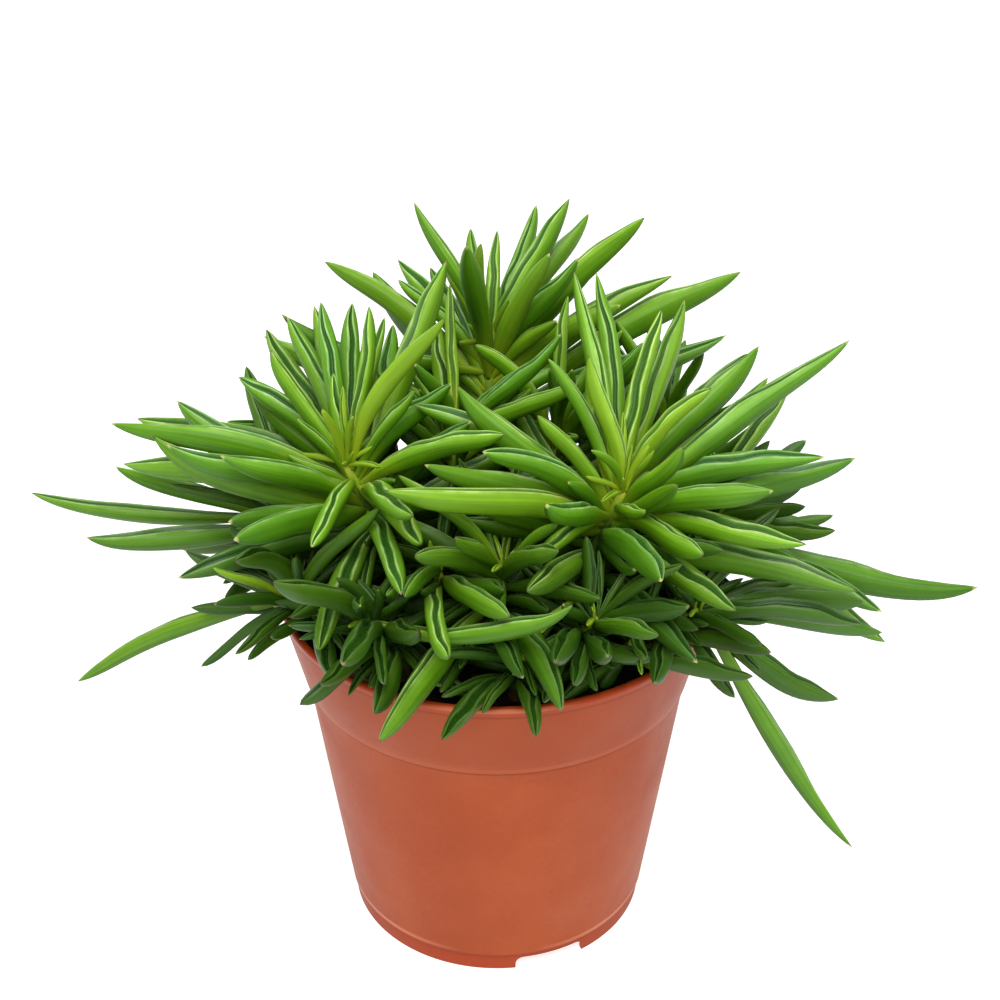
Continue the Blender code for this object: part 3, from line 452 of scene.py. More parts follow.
def growPlant():
    placed = []
    leaves = {name: [] for name in shoots}
    for name, shoot in shoots.items():
        keepClear(*stemHull(shoot), name, placed)
    for name, rows in largeLeaves.items():
        seed = shoots[name]["seed"]
        for index, (share, x, y, z, *bend) in enumerate(rows):
            arch = leafForm["arch"] + leafForm["archSpread"] * math.sin(leafForm["archTurn"] * index + seed)
            bow = leafForm["bowSpread"] * math.sin(leafForm["bowTurn"] * index + seed)
            if bend:
                arch, bow = bend
            place = share - leafForm["rootSpread"] * (index % leafForm["rootTurn"])
            grow(name, place, Vector((x, y, z)), arch, bow, False, leaves, placed)
    for name, shoot in shoots.items():
        draw = random.Random(shoot["seed"])
        rule = [(1.0, youngTip(shoot, index, shoot["young"], draw)) for index in range(shoot["young"])]
        rule += [fillLeaf(shoot, index, draw) for index in range(shoot["fill"][0])]
        for share, tip in rule:
            grow(name, share, tip, ruleLeaves["fillArch"], 0.0, True, leaves, placed)
    print("placed", sum(len(rows) for rows in leaves.values()), "leaves as in the solids")
    return leaves, placed


# Small leaves that only the finished look has: the hearts of the crowns, and sprigs between the large leaves

sprigs = {
    "heartLeaves": {"crown_right": 18, "crown_left": 16, "crown_back": 10}, "otherHearts": 4,
    "heartFirst": 200, "heartRise": (80, 4), "heartLength": (3, 14), "heartSlim": 1.05,
    "count": 28, "share": (0.97, 0.15), "rise": (55, -6), "length": (15, 40), "firstTurn": 77, "arch": 0.09,
    "looseTurn": 15, "looseRise": 10, "seed": 71, "slim": 0.95, "backmost": 80, "sightNear": 6, "sightWide": 12,
}

# Single leaves between the others, written as the large ones are
extraLeaves = {
    "shoot_low_right": ((0.85, 104, -16, 95), (0.75, 96, -26, 105)),
    "crown_left": (
        (0.86, -40, 22, 177), (0.84, -50, 26, 173), (0.8, -74, 14, 154), (0.7, -91, -6, 149), (0.74, -66, 26, 161),
        (0.78, -67, 19, 151), (0.6, -20, 10, 142),
    ),
    "crown_back": (
        (0.86, -29, 58, 168), (0.9, 1, 44, 189), (0.8, -26, 60, 179), (0.88, 23, 42, 178), (0.84, -13, 34, 181),
        (0.9, 22, 34, 180), (0.92, 28, 37, 183), (0.4, 16, 27, 149),
    ),
    "shoot_back_right": (
        (0.95, 58, 30, 160), (0.9, 52, 34, 164), (0.98, 40, 33, 170), (0.96, 33, 36, 166), (0.97, 50, 38, 174),
        (0.5, 84, 26, 93),
    ),
    "shoot_inner_right": (
        (0.85, 21, -4, 150), (0.9, 14, 6, 165), (0.8, 38, 12, 162), (0.96, 19, 26, 178), (0.85, 39, 26, 152),
        (0.8, 8, 30, 152),
    ),
    "shoot_inner": (
        (0.85, -22, 6, 165), (0.8, -25, -6, 157), (0.9, -26, 26, 157), (0.6, -30, 12, 146), (0.5, -32, 6, 141),
    ),
    "shoot_far_right": ((0.8, 84, 0, 127), (0.55, 88, 12, 92), (0.6, 80, 20, 92)),
    "shoot_far_left": ((0.6, -90, 13, 106), (0.95, -90, 10, 128), (0.7, -84, 22, 102)),
    "shoot_low_front": ((0.3, 8, -51, 100), (0.45, 51, -29, 96)),
}


def hidesHeart(name, leaf):
    # a short leaf that stands between the eye and the heart of a crown
    if not leaf["plain"] or leaf.get("heart"):
        return False
    for crown in sprigs["heartLeaves"]:
        heart = Vector(shoots[crown]["top"])
        sight = (eye - heart).normalized()
        out = leaf["tip"] - heart
        near = out.dot(sight)
        before = near > sprigs["sightNear"] and (out - sight * near).length < sprigs["sightWide"]
        if before and (name != crown or leaf.get("sprig")):
            return True
    return False


def addSprigs(leaves, placed):
    total = 0
    for order, (name, shoot) in enumerate(shoots.items()):
        draw = random.Random(sprigs["seed"] + order)
        hearts = sprigs["heartLeaves"].get(name, sprigs["otherHearts"])
        wanted = []
        for index in range(hearts):
            outward = index / hearts
            turn = sprigs["heartFirst"] + leafForm["goldenAngle"] * index
            way = heading(turn, between(sprigs["heartRise"], outward))
            wanted.append((1.0, Vector(shoot["top"]) + way * between(sprigs["heartLength"], outward), True))
        for index in range(sprigs["count"]):
            down = index / sprigs["count"]
            share = between(sprigs["share"], down)
            turn = sprigs["firstTurn"] * order + leafForm["goldenAngle"] * index
            turn += draw.uniform(-sprigs["looseTurn"], sprigs["looseTurn"])
            rise = between(sprigs["rise"], down) + draw.uniform(-sprigs["looseRise"], sprigs["looseRise"])
            tip = stemPoint(shoot, share) + heading(turn, rise) * draw.uniform(*sprigs["length"])
            wanted.append((share, tip, False))
        wanted += [(share, Vector(tip), False) for share, *tip in extraLeaves.get(name, ())]
        for share, tip, heart in wanted:
            if tip.y > sprigs["backmost"]:
                continue
            leaf = grow(name, share, tip, sprigs["arch"], 0.0, True, leaves, placed)
            if leaf:
                leaf.update(heart=heart, sprig=True)
                total += 1
    print("added", total, "heart leaves and sprigs")


# One straight leaf, drawn out ring by ring, which each leaf of the plant is a bent copy of

fineLeaf = {
    # the section: sideways and up as shares of the depth, then the place across the leaf, 0 at the keel
    "crest": (0.232, 0.448, 0.66), "crestInside": (0.178, 0.422, 0.72), "grooveWall": (0.092, 0.290, 0.86),
    "grooveFloor": (0.0, 0.210, 1.0), "flankSteps": 8, "flankEnd": 52, "halfWidth": 0.46, "waist": 0.10,
    "keelDepth": 0.66, "shoulder": 0.34, "flankPower": 0.75, "flankPlace": 0.60, "tipMerge": 0.0001,
    # the outline along the leaf
    "stations": 24, "smallStations": 13, "evenness": 0.45, "smallUnder": 30, "foot": 0.27, "fullFrom": 0.52,
    "blunt": (6.8, 9.8), "fine": (5.4, 8.2), "bluntRound": 0.72, "fineRound": 0.86, "slenderFrom": 24,
    "slenderTo": 62, "narrowFrom": 0.83, "narrowUnder": (20, 34), "narrow": 0.58, "lowUnder": 124,
    "lowNarrow": 0.84, "swell": 0.065, "swells": 9,
    # bends, twists and waves, each a little different from leaf to leaf
    "twist": 34, "waver": 0.014, "tipHook": 0.042, "hookPower": 8, "hookSpread": (0.2, 1.3), "tipSwing": 0.050,
    "swingPower": 4, "swingBack": 0.4, "open": (0.50, 1.15), "edgeFrom": 0.5, "edgeFull": 0.16,
    "edgeWave": 0.078, "edgeWaves": 11, "ripple": 0.5, "ripples": 2.3, "edgeLift": 0.5, "seed": 5,
}
# the last mark carries the leaf's age together with painted shade
leafMarks = ("across", "along", "tone", "ageAndShadeMark")


def leafOutline():
    # half of the section from the keel to the groove's floor, then its mirror image
    half = []
    steps = fineLeaf["flankSteps"]
    for k in range(steps):
        angle = math.radians(-90 + (90 + fineLeaf["flankEnd"]) * k / (steps - 1))
        x = fineLeaf["halfWidth"] * max(math.cos(angle), 0.0) ** fineLeaf["flankPower"]
        height = fineLeaf["keelDepth"] if angle < 0 else fineLeaf["shoulder"]
        half.append((x, fineLeaf["waist"] + height * math.sin(angle), fineLeaf["flankPlace"] * k / (steps - 1)))
    half += [fineLeaf[part] for part in ("crest", "crestInside", "grooveWall", "grooveFloor")]
    return half + [(-x, z, place) for x, z, place in reversed(half[1:-1])]


def drawnOut(bm, face, inner):
    # draws a face out once more; the face left behind inside the shape is taken away
    grown = bmesh.ops.extrude_face_region(bm, geom=[face])["geom"]
    if inner:
        bmesh.ops.delete(bm, geom=[face], context="FACES_ONLY")
    return [item for item in grown if isinstance(item, bmesh.types.BMFace)][0]


def straightLeaf(count):
    # x and z hold the section and y the ring's number; the marks hold the places across and along
    bm = bmesh.new()
    across, along = [bm.verts.layers.float.new(mark) for mark in leafMarks][:2]
    outline = leafOutline()
    bmesh.ops.create_circle(bm, cap_ends=True, radius=1.0, segments=len(outline))
    for vert, (x, z, place) in zip(bm.verts, outline):
        vert.co = (x, 0, z)
        vert[across] = place
    bm.faces.ensure_lookup_table()
    face = bm.faces[0]
    for ring in range(1, count + 1):
        even = ring / count
        rounded = (1 - math.cos(math.pi * even)) / 2
        share = rounded + (even - rounded) * fineLeaf["evenness"]
        face = drawnOut(bm, face, ring > 1)
        for vert in face.verts:
            vert.co.y = ring
            vert[along] = share
    for vert in face.verts:
        vert.co = (0, count, 0)
    bmesh.ops.remove_doubles(bm, verts=bm.verts, dist=fineLeaf["tipMerge"])
    bmesh.ops.recalc_face_normals(bm, faces=bm.faces)
    for face in bm.faces:
        face.smooth = True
    return bm


leafAgeAndShade = {
    # 0 for the newest leaf in a heart, 0.5 for a full-grown one and 1 for an old one low on its stem; painted shade
    # is added to it, so that a leaf low and short in the plant's mass is painted darker as if shaded
    "heart": (0.0, 0.22), "nearHeart": (0.12, 0.28), "grown": 0.33, "lower": 0.26, "loose": (-0.08, 0.12),
    "least": 0.30, "shadeBelow": 145, "shadeOver": 50, "shade": (0.78, 0.30), "reachFrom": 25, "reachOver": 35,
}


def ageAndShadeOf(leaf, draw):
    ageAndShadeRules = leafAgeAndShade
    if leaf.get("heart"):
        return draw.uniform(*ageAndShadeRules["heart"])
    if leaf["plain"] and leaf["share"] >= 1.0:
        return draw.uniform(*ageAndShadeRules["nearHeart"])
    low = 1 - leaf["share"]
    # painted shade: a leaf whose foot lies low in the plant counts as older, a short one more than a long one,
    # which reaches out of the shade that a short one lies in
    reach = clamped(((leaf["tip"] - leaf["base"]).length - ageAndShadeRules["reachFrom"]) / ageAndShadeRules["reachOver"])
    shade = max(0.0, (ageAndShadeRules["shadeBelow"] - leaf["base"].z) / ageAndShadeRules["shadeOver"]) * between(ageAndShadeRules["shade"], reach)
    return clamped(ageAndShadeRules["grown"] + ageAndShadeRules["lower"] * low + shade + draw.uniform(*ageAndShadeRules["loose"]), ageAndShadeRules["least"])


def addTo(piece, bm, name):
    mesh = bpy.data.meshes.new(name)
    bm.to_mesh(mesh)
    bm.free()
    piece.from_mesh(mesh)
    bpy.data.meshes.remove(mesh)


def addLeaf(piece, straight, leaf, draw):
    form = fineLeaf
    length = (leaf["tip"] - leaf["base"]).length
    slender = clamped((length - form["slenderFrom"]) / (form["slenderTo"] - form["slenderFrom"]))
    bm = straight["small" if length < form["smallUnder"] else "large"].copy()
    across, along, tone, ageAndShadeMark = [bm.verts.layers.float[mark] for mark in leafMarks]
    leafTone = draw.random()
    # age, with painted shade added for a leaf low and short in the plant
    ageAndShade = ageAndShadeOf(leaf, draw)
    turn = math.radians(draw.uniform(-form["twist"], form["twist"]))
    swing = draw.uniform(-1, 1) * form["waver"] * length
    phase = draw.uniform(0, 2 * math.pi)
    nod = draw.uniform(-1, 1) * form["waver"] * length
    openness = draw.uniform(*form["open"])
    swung = draw.uniform(-form["tipSwing"], form["tipSwing"]) * length
    hooked = form["tipHook"] * length * draw.uniform(*form["hookSpread"])
    power = between((draw.uniform(*form["blunt"]), draw.uniform(*form["fine"])), slender)
    tipRound = between((form["bluntRound"], form["fineRound"]), slender)
    depth = leaf["depth"]
    shortest, under = form["narrowUnder"]
    if leaf["share"] > form["narrowFrom"] and not leaf["plain"]:
        # short leaves round a heart are young and narrow
        depth *= between((1.0, form["narrow"]), clamped((under - length) / (under - shortest)))
    if leaf["tip"].z < form["lowUnder"] and length < under:
        depth *= form["lowNarrow"]
    if leaf.get("sprig"):
        depth *= sprigs["heartSlim"] if leaf["heart"] else sprigs["slim"]
    places = {}
    for vert in bm.verts:
        ring = round(vert.co.y)
        if ring not in places:
            share = vert[along]
            point, side, up = leafPlace(leaf, share)
            twist = turn * share
            sway = math.sin(2 * math.pi * share) * swing
            sway += swung * (share ** form["swingPower"] - form["swingBack"] * share)
            hook = hooked * share ** form["hookPower"] + nod * math.sin(2 * math.pi * share)
            point = point + side * sway + up * hook
            sideways = side * math.cos(twist) + up * math.sin(twist)
            upwards = up * math.cos(twist) - side * math.sin(twist)
            size = depth * fullness(form, share, power, tipRound)
            size *= 1 + form["swell"] * math.sin(form["swells"] * share + 2 * phase)
            ripple = form["ripple"] * math.sin(form["ripples"] * form["edgeWaves"] * share + 3 * phase)
            wave = form["edgeWave"] * (math.sin(form["edgeWaves"] * share + phase) + ripple)
            places[ring] = (point, sideways, upwards, size, wave)
        point, sideways, upwards, size, wave = places[ring]
        x, _, z = vert.co
        if vert[across] > form["edgeFrom"]:
            closeness = min((vert[across] - form["edgeFrom"]) / form["edgeFull"], 1.0)
            x *= 1 + (openness - 1) * closeness
            x += wave * closeness
            z += form["edgeLift"] * wave * closeness
        vert.co = (point + sideways * (x * size) + upwards * (z * size)) * mm
        vert[tone] = leafTone
        vert[ageAndShadeMark] = ageAndShade
    addTo(piece, bm, "leaf")


def addStem(piece, shoot):
    bm = bmesh.new()
    along = bm.verts.layers.float.new("along")
    foot = stemFoot(shoot)
    spine = [foot, foot.lerp(stemPoint(shoot, 0.0), stem["buried"])]
    spine += [stemPoint(shoot, k / stem["stations"]) for k in range(stem["stations"] + 1)]
    bmesh.ops.create_circle(bm, cap_ends=True, radius=1.0, segments=stem["sides"])
    bm.faces.ensure_lookup_table()
    face = bm.faces[0]
    spokes = [vert.co.copy() for vert in face.verts]
    last = len(spine) - 1
    for index, point in enumerate(spine):
        if index:
            face = drawnOut(bm, face, index > 1)
        way = (spine[min(index + 1, last)] - spine[max(index - 1, 0)]).normalized()
        side = way.cross(Vector((0, 1, 0))).normalized()
        front = way.cross(side)
        share = index / last
        swell = 1 + stem["node"] * math.sin(2 * math.pi * stem["nodes"] * share)
        radius = stem["radius"] * (1 - stem["slimmer"] * share) * swell
        if index == last:
            radius *= stem["topEnd"]
        for vert, spoke in zip(face.verts, spokes):
            vert.co = (point + (side * spoke.x + front * spoke.y) * radius) * mm
            vert[along] = share
    bmesh.ops.recalc_face_normals(bm, faces=bm.faces)
    for face in bm.faces:
        face.smooth = True
        face.material_index = 1
    addTo(piece, bm, "stem")


# Materials: small helpers, then one function for each finish


def startMaterial(name, settings):
    material = bpy.data.materials.new(name)
    material.use_nodes = True
    tree = material.node_tree
    shader = tree.nodes["Principled BSDF"]
    for socket, value in settings.items():
        shader.inputs[socket].default_value = value
    return material, tree, shader


def feed(tree, socket, value):
    if isinstance(value, bpy.types.NodeSocket):
        tree.links.new(value, socket)
    elif isinstance(value, tuple) and len(value) == 3 and socket.type == "RGBA":
        socket.default_value = (*value, 1.0)
    else:
        socket.default_value = value


def attribute(tree, name):
    node = tree.nodes.new("ShaderNodeAttribute")
    node.attribute_name = name
    return node.outputs["Fac"]


def objectPlace(tree):
    return tree.nodes.new("ShaderNodeTexCoord").outputs["Object"]


def calc(tree, operation, first, second=0.0, clamp=False):
    node = tree.nodes.new("ShaderNodeMath")
    node.operation = operation
    node.use_clamp = clamp
    feed(tree, node.inputs[0], first)
    feed(tree, node.inputs[1], second)
    return node.outputs[0]


def times(tree, first, second):
    return calc(tree, "MULTIPLY", first, second)


def spread(tree, value, fromLow, fromHigh, toLow=0.0, toHigh=1.0):
    # moves a range of values onto another, and cuts off what is outside
    node = tree.nodes.new("ShaderNodeMapRange")
    feed(tree, node.inputs["Value"], value)
    for socket, number in zip(("From Min", "From Max", "To Min", "To Max"), (fromLow, fromHigh, toLow, toHigh)):
        node.inputs[socket].default_value = number
    return node.outputs["Result"]


def blend(tree, factor, first, second, way="MIX"):
    node = tree.nodes.new("ShaderNodeMix")
    node.data_type = "RGBA"
    node.blend_type = way
    feed(tree, node.inputs[0], factor)
    feed(tree, node.inputs[6], first)
    feed(tree, node.inputs[7], second)
    return node.outputs[2]


def ramp(tree, factor, stops):
    # a stop's colour may also be one number, for a grey
    node = tree.nodes.new("ShaderNodeValToRGB")
    feed(tree, node.inputs["Fac"], factor)
    bar = node.color_ramp
    while len(bar.elements) < len(stops):
        bar.elements.new(0.5)
    for element, (position, color) in zip(bar.elements, stops):
        element.position = position
        element.color = (*color, 1.0) if isinstance(color, tuple) else (color, color, color, 1.0)
    return node.outputs["Color"]


def over(tree, base, color, factor, strength):
    return blend(tree, times(tree, factor, strength), base, color)


def tinted(tree, base, factor, stops):
    return blend(tree, 1.0, base, ramp(tree, factor, stops), "MULTIPLY")


def noiseAt(tree, place, scale, detail, roughness=0.5):
    node = tree.nodes.new("ShaderNodeTexNoise")
    feed(tree, node.inputs["Vector"], place)
    node.inputs["Scale"].default_value = scale
    node.inputs["Detail"].default_value = detail
    node.inputs["Roughness"].default_value = roughness
    return node.outputs["Fac"]


def joined(tree, x, y, z):
    node = tree.nodes.new("ShaderNodeCombineXYZ")
    for socket, value in zip(node.inputs, (x, y, z)):
        feed(tree, socket, value)
    return node.outputs[0]


def dress(tree, shader, color, roughness, relief, strength, distance):
    tree.links.new(color, shader.inputs["Base Color"])
    tree.links.new(roughness, shader.inputs["Roughness"])
    node = tree.nodes.new("ShaderNodeBump")
    node.inputs["Strength"].default_value = strength
    node.inputs["Distance"].default_value = distance
    tree.links.new(relief, node.inputs["Height"])
    tree.links.new(node.outputs["Normal"], shader.inputs["Normal"])


leafFinish = {
    # by the place across the leaf: the keel, darker as painted shade, the flank, paler towards its top, partly its
    # own colour and partly a painted highlight, the pale edge and the dark groove
    "bands": (
        (0.00, (0.034, 0.115, 0.001)), (0.24, (0.074, 0.215, 0.002)), (0.50, (0.125, 0.320, 0.006)),
        (0.615, (0.19, 0.42, 0.03)), (0.650, (0.44, 0.66, 0.20)), (0.684, (0.44, 0.66, 0.20)),
        (0.728, (0.135, 0.310, 0.060)), (0.81, (0.056, 0.180, 0.022)), (1.00, (0.030, 0.110, 0.008)),
    ),
    "wobble": (0.3, 0.7, -0.015, 0.015), "wobbleNoise": (260.0, 2.0),
    # the pale edge comes and goes along the leaf, and young leaves have less of it
    "edgeBand": ((0.60, 0), (0.65, 1), (0.70, 1), (0.76, 0)), "edgeGap": (0.125, 0.320, 0.006),
    "gapStretch": (3.0, 8.0, 90.0), "gapNoise": (1.0, 2.0), "gaps": (0.56, 0.40, 0.0, 0.62),
    "youngGaps": (0.42, 0.14, 0.0, 0.40),
    # lengthwise streaks, cloudy patches and the tone of each leaf
    "streakStretch": (12.0, 1.3, 60.0), "streakNoise": (1.0, 4.0, 0.6),
    "streaks": ((0.30, (0.68, 0.73, 0.5)), (0.70, (1.30, 1.24, 1.5))),
    "cloudNoise": (95.0, 3.0), "clouds": ((0.30, (0.90, 0.92, 0.85)), (0.70, (1.10, 1.08, 1.1))),
    "tones": ((0.0, (0.74, 0.86, 0.9)), (0.5, 1), (1.0, (1.30, 1.14, 1.1))),
    # young leaves are yellow-green at the foot, old ones dark and dull; the same darkening is also painted shade on
    # leaves low and short in the plant's mass
    "young": (0.41, 0.58, 0.022), "youngShare": 0.85, "youth": (0.42, 0.14), "footwards": (1.0, 0.05, 0.55, 1.0),
    "flank": (0.76, 0.68, 0.42, 1.0), "old": (0.014, 0.050, 0.002), "oldShare": 0.80, "wearAndShade": (0.46, 0.84),
    # a pale foot, and a dry dot at the tip
    "base": (0.40, 0.50, 0.014), "baseShare": 0.85, "baseAlong": (0.38, 0.02), "baseAge": (0.62, 0.36),
    "tip": ((0.45, (0.62, 0.50, 0.20)), (0.75, (0.085, 0.050, 0.018))), "tipShare": 0.80,
    "tipAlong": (0.978, 0.992), "tipWear": 0.5,
    # satin flanks, a glossier groove
    "gloss": ((0.0, 0.50), (0.55, 0.42), (0.70, 0.34), (0.86, 0.24)), "speckle": (0.3, 0.7, -0.04, 0.05),
    "speckleNoise": (900.0, 2.0), "streakRelief": 0.7, "speckleRelief": 0.3, "relief": (0.35, 0.00030),
    "settings": {"Specular IOR Level": 0.28, "Subsurface Weight": 0.12, "Subsurface Radius": (0.6, 1.0, 0.12),
                 "Subsurface Scale": 0.0014},
}


def leafMaterial():
    look = leafFinish
    material, tree, shader = startMaterial("leaf green", look["settings"])
    across, along, tone, ageAndShadeMark = [attribute(tree, mark) for mark in leafMarks]
    place = objectPlace(tree)

    def stretched(kind):
        # noise drawn out along the leaf, another one on each leaf
        scales = zip((across, along, tone), look[kind + "Stretch"])
        return noiseAt(tree, joined(tree, *[times(tree, *pair) for pair in scales]), *look[kind + "Noise"])

    streaks = stretched("streak")
    wobble = spread(tree, noiseAt(tree, place, *look["wobbleNoise"]), *look["wobble"])
    # the colours across the leaf, with painted shade at the keel and a painted highlight high on the flank
    color = ramp(tree, calc(tree, "ADD", across, wobble), look["bands"])
    gaps = spread(tree, stretched("gap"), *look["gaps"])
    gaps = calc(tree, "ADD", gaps, spread(tree, ageAndShadeMark, *look["youngGaps"]), True)
    color = over(tree, color, look["edgeGap"], ramp(tree, across, look["edgeBand"]), gaps)
    clouds = noiseAt(tree, place, *look["cloudNoise"])
    for factor, kind in ((streaks, "streaks"), (clouds, "clouds"), (tone, "tones")):
        color = tinted(tree, color, factor, look[kind])
    footwards = spread(tree, along, *look["footwards"])
    flank = spread(tree, across, *look["flank"])
    youth = times(tree, times(tree, spread(tree, ageAndShadeMark, *look["youth"]), footwards), flank)
    color = over(tree, color, look["young"], youth, look["youngShare"])
    # darker and duller with age, and with the painted shade that the age carries
    wearAndShade = spread(tree, ageAndShadeMark, *look["wearAndShade"])
    color = over(tree, color, look["old"], wearAndShade, look["oldShare"])
    base = times(tree, spread(tree, along, *look["baseAlong"]), spread(tree, ageAndShadeMark, *look["baseAge"]))
    color = over(tree, color, look["base"], base, look["baseShare"])
    tipColor = ramp(tree, calc(tree, "ADD", tone, times(tree, wearAndShade, look["tipWear"])), look["tip"])
    color = over(tree, color, tipColor, spread(tree, along, *look["tipAlong"]), look["tipShare"])
    speckle = noiseAt(tree, place, *look["speckleNoise"])
    roughness = calc(tree, "ADD", ramp(tree, across, look["gloss"]), spread(tree, speckle, *look["speckle"]))
    fine = times(tree, speckle, look["speckleRelief"])
    relief = calc(tree, "ADD", times(tree, streaks, look["streakRelief"]), fine)
    dress(tree, shader, color, roughness, relief, *look["relief"])
    return material


stemFinish = {
    "along": ((0.10, (0.11, 0.060, 0.022)), (0.40, (0.09, 0.20, 0.020)), (0.80, (0.09, 0.20, 0.020)),
              (0.95, (0.38, 0.54, 0.03)), (1.0, (0.50, 0.54, 0.04))),
    "fibres": ((0.3, (0.75, 0.75, 0.7)), (0.7, (1.2, 1.2, 1.15))), "fibreNoise": (420.0, 3.0),
    "roughness": (0.3, 0.7, 0.42, 0.58), "relief": (0.3, 0.0003),
}


def stemMaterial():
    look = stemFinish
    material, tree, shader = startMaterial("stem", {})
    along = attribute(tree, "along")
    fibres = noiseAt(tree, objectPlace(tree), *look["fibreNoise"])
    color = tinted(tree, ramp(tree, along, look["along"]), fibres, look["fibres"])
    dress(tree, shader, color, spread(tree, fibres, *look["roughness"]), fibres, *look["relief"])
    return material


potFinish = {
    "clay": ((0.30, (0.300, 0.046, 0.007)), (0.50, (0.335, 0.056, 0.011)), (0.72, (0.372, 0.074, 0.019))),
    "clayNoise": (22.0, 3.0, 0.55), "grainNoise": (700.0, 2.0),
    "grain": ((0.3, (0.96, 0.95, 0.95)), (0.7, (1.04, 1.05, 1.05))),
    "lip": (0.330, 0.035, 0.006), "lipShare": 0.75, "lipRise": (-0.0026, -0.0016),
    "footShare": 0.60, "footRise": (0.0004, -0.0006),
    # painted shade: the band below the lip is darkened as if shaded by the leaves over it
    "band": (0.270, 0.038, 0.005), "bandShare": 0.55, "bandRise": (0.0, 0.004),
    # tints of painted light: shade for painted shade lines, light and edge for painted highlight lines
    "shade": (0.180, 0.018, 0.003), "light": (0.372, 0.074, 0.019), "edge": (0.56, 0.19, 0.09),
    # soft painted lines round the pot, painted shade and painted highlights where the ledge, the lower edge and the
    # lip
    # are shaded or lit: the measure that each lies by, how far above it, half its width, tint and strength; the
    # lower edge has its painted highlight at the two sides, and the lip has one in the middle
    "shadeAndHighlightLines": (
        ("bandFoot", -0.0006, 0.0007, "shade", 0.45), ("bandFoot", 0.0009, 0.0009, "light", 0.70),
        ("bodyFoot", 0.0009, 0.0010, "edge", "sides"), ("bodyFoot", -0.0006, 0.0009, "shade", 0.70),
        ("height", -0.0029, 0.0006, "shade", 0.45), ("height", -0.0008, 0.0007, "edge", "middle"),
    ),
    # where the painted highlights on the lower edge begin at the sides, and how strong the painted highlights are
    "sideways": (0.010, 0.030), "sides": 0.90, "middle": 0.60, "soft": 0.3,
    "scuffNoise": (60.0, 5.0, 0.65), "roughness": (0.3, 0.7, 0.42, 0.56), "lipGloss": 0.16,
    "relief": (0.10, 0.0002),
    "settings": {"Specular IOR Level": 0.18},
}


def potMaterial():
    look = potFinish
    material, tree, shader = startMaterial("terracotta plastic", look["settings"])
    place = objectPlace(tree)
    split = tree.nodes.new("ShaderNodeSeparateXYZ")
    tree.links.new(place, split.inputs[0])
    height = split.outputs["Z"]

    def rising(measure, rises):
        return spread(tree, height, *[pot[measure] + rise for rise in rises])

    grain = noiseAt(tree, place, *look["grainNoise"])
    color = ramp(tree, noiseAt(tree, place, *look["clayNoise"]), look["clay"])
    color = tinted(tree, color, grain, look["grain"])
    lip = rising("height", look["lipRise"])
    color = over(tree, color, look["lip"], lip, look["lipShare"])
    color = over(tree, color, look["lip"], rising("bodyFoot", look["footRise"]), look["footShare"])
    # painted shade on the band, from the ledge up to the lip
    band = calc(tree, "SUBTRACT", rising("bandFoot", look["bandRise"]), lip)
    color = over(tree, color, look["band"], band, look["bandShare"])
    # painted highlights: strong at the sides of the lower edge, and on the lip in the middle
    sideways = spread(tree, calc(tree, "ABSOLUTE", split.outputs["X"]), *look["sideways"])
    highlightStrengths = {"sides": times(tree, sideways, look["sides"]),
              "middle": calc(tree, "SUBTRACT", look["middle"], sideways, True)}
    # each row is a painted shade line or a painted highlight line round the pot
    for measure, rise, half, tint, strength in look["shadeAndHighlightLines"]:
        away = calc(tree, "ABSOLUTE", calc(tree, "SUBTRACT", height, pot[measure] + rise))
        near = spread(tree, away, half, half * look["soft"])
        color = over(tree, color, look[tint], near, highlightStrengths.get(strength, strength))
    rough = spread(tree, noiseAt(tree, place, *look["scuffNoise"]), *look["roughness"])
    rough = calc(tree, "SUBTRACT", rough, times(tree, lip, look["lipGloss"]))
    dress(tree, shader, color, rough, grain, *look["relief"])
    return material


soilFinish = {
    "peat": ((0.30, (0.004, 0.003, 0.002)), (0.55, (0.014, 0.009, 0.005)), (0.80, (0.040, 0.026, 0.015))),
    "fineNoise": (520.0, 5.0, 0.7), "crumb": (0.085, 0.050, 0.026), "crumbShare": 0.8,
    "roughness": (0.3, 0.7, 0.95, 0.75), "relief": (0.7, 0.0008), "settings": {"Specular IOR Level": 0.25},
}


def soilMaterial():
    look = soilFinish
    material, tree, shader = startMaterial("potting soil", look["settings"])
    fine = noiseAt(tree, objectPlace(tree), *look["fineNoise"])
    color = ramp(tree, fine, look["peat"])
    color = over(tree, color, look["crumb"], attribute(tree, "tint"), look["crumbShare"])
    dress(tree, shader, color, spread(tree, fine, *look["roughness"]), fine, *look["relief"])
    return material


barkFinish = {
    "layers": ((0.30, (0.20, 0.11, 0.05)), (0.50, (0.50, 0.36, 0.20)), (0.70, (0.68, 0.56, 0.36))),
    "stretch": (1.0, 3.5, 6.0), "grainNoise": (320.0, 4.0), "roughness": (0.3, 0.7, 0.85, 0.65),
    "relief": (0.6, 0.0006),
}


def barkMaterial():
    look = barkFinish
    material, tree, shader = startMaterial("bark", {})
    stretch = tree.nodes.new("ShaderNodeMapping")
    stretch.inputs["Scale"].default_value = look["stretch"]
    tree.links.new(objectPlace(tree), stretch.inputs["Vector"])
    grain = noiseAt(tree, stretch.outputs[0], *look["grainNoise"])
    color = ramp(tree, grain, look["layers"])
    dress(tree, shader, color, spread(tree, grain, *look["roughness"]), grain, *look["relief"])
    return material


# Making objects


def newPiece(name, bm, materials, recalc=False):
    if recalc:
        bmesh.ops.recalc_face_normals(bm, faces=bm.faces)
    mesh = bpy.data.meshes.new(name)
    bm.to_mesh(mesh)
    bm.free()
    for material in materials:
        mesh.materials.append(material)
    piece = bpy.data.objects.new(name, mesh)
    bpy.context.scene.collection.objects.link(piece)
    return piece


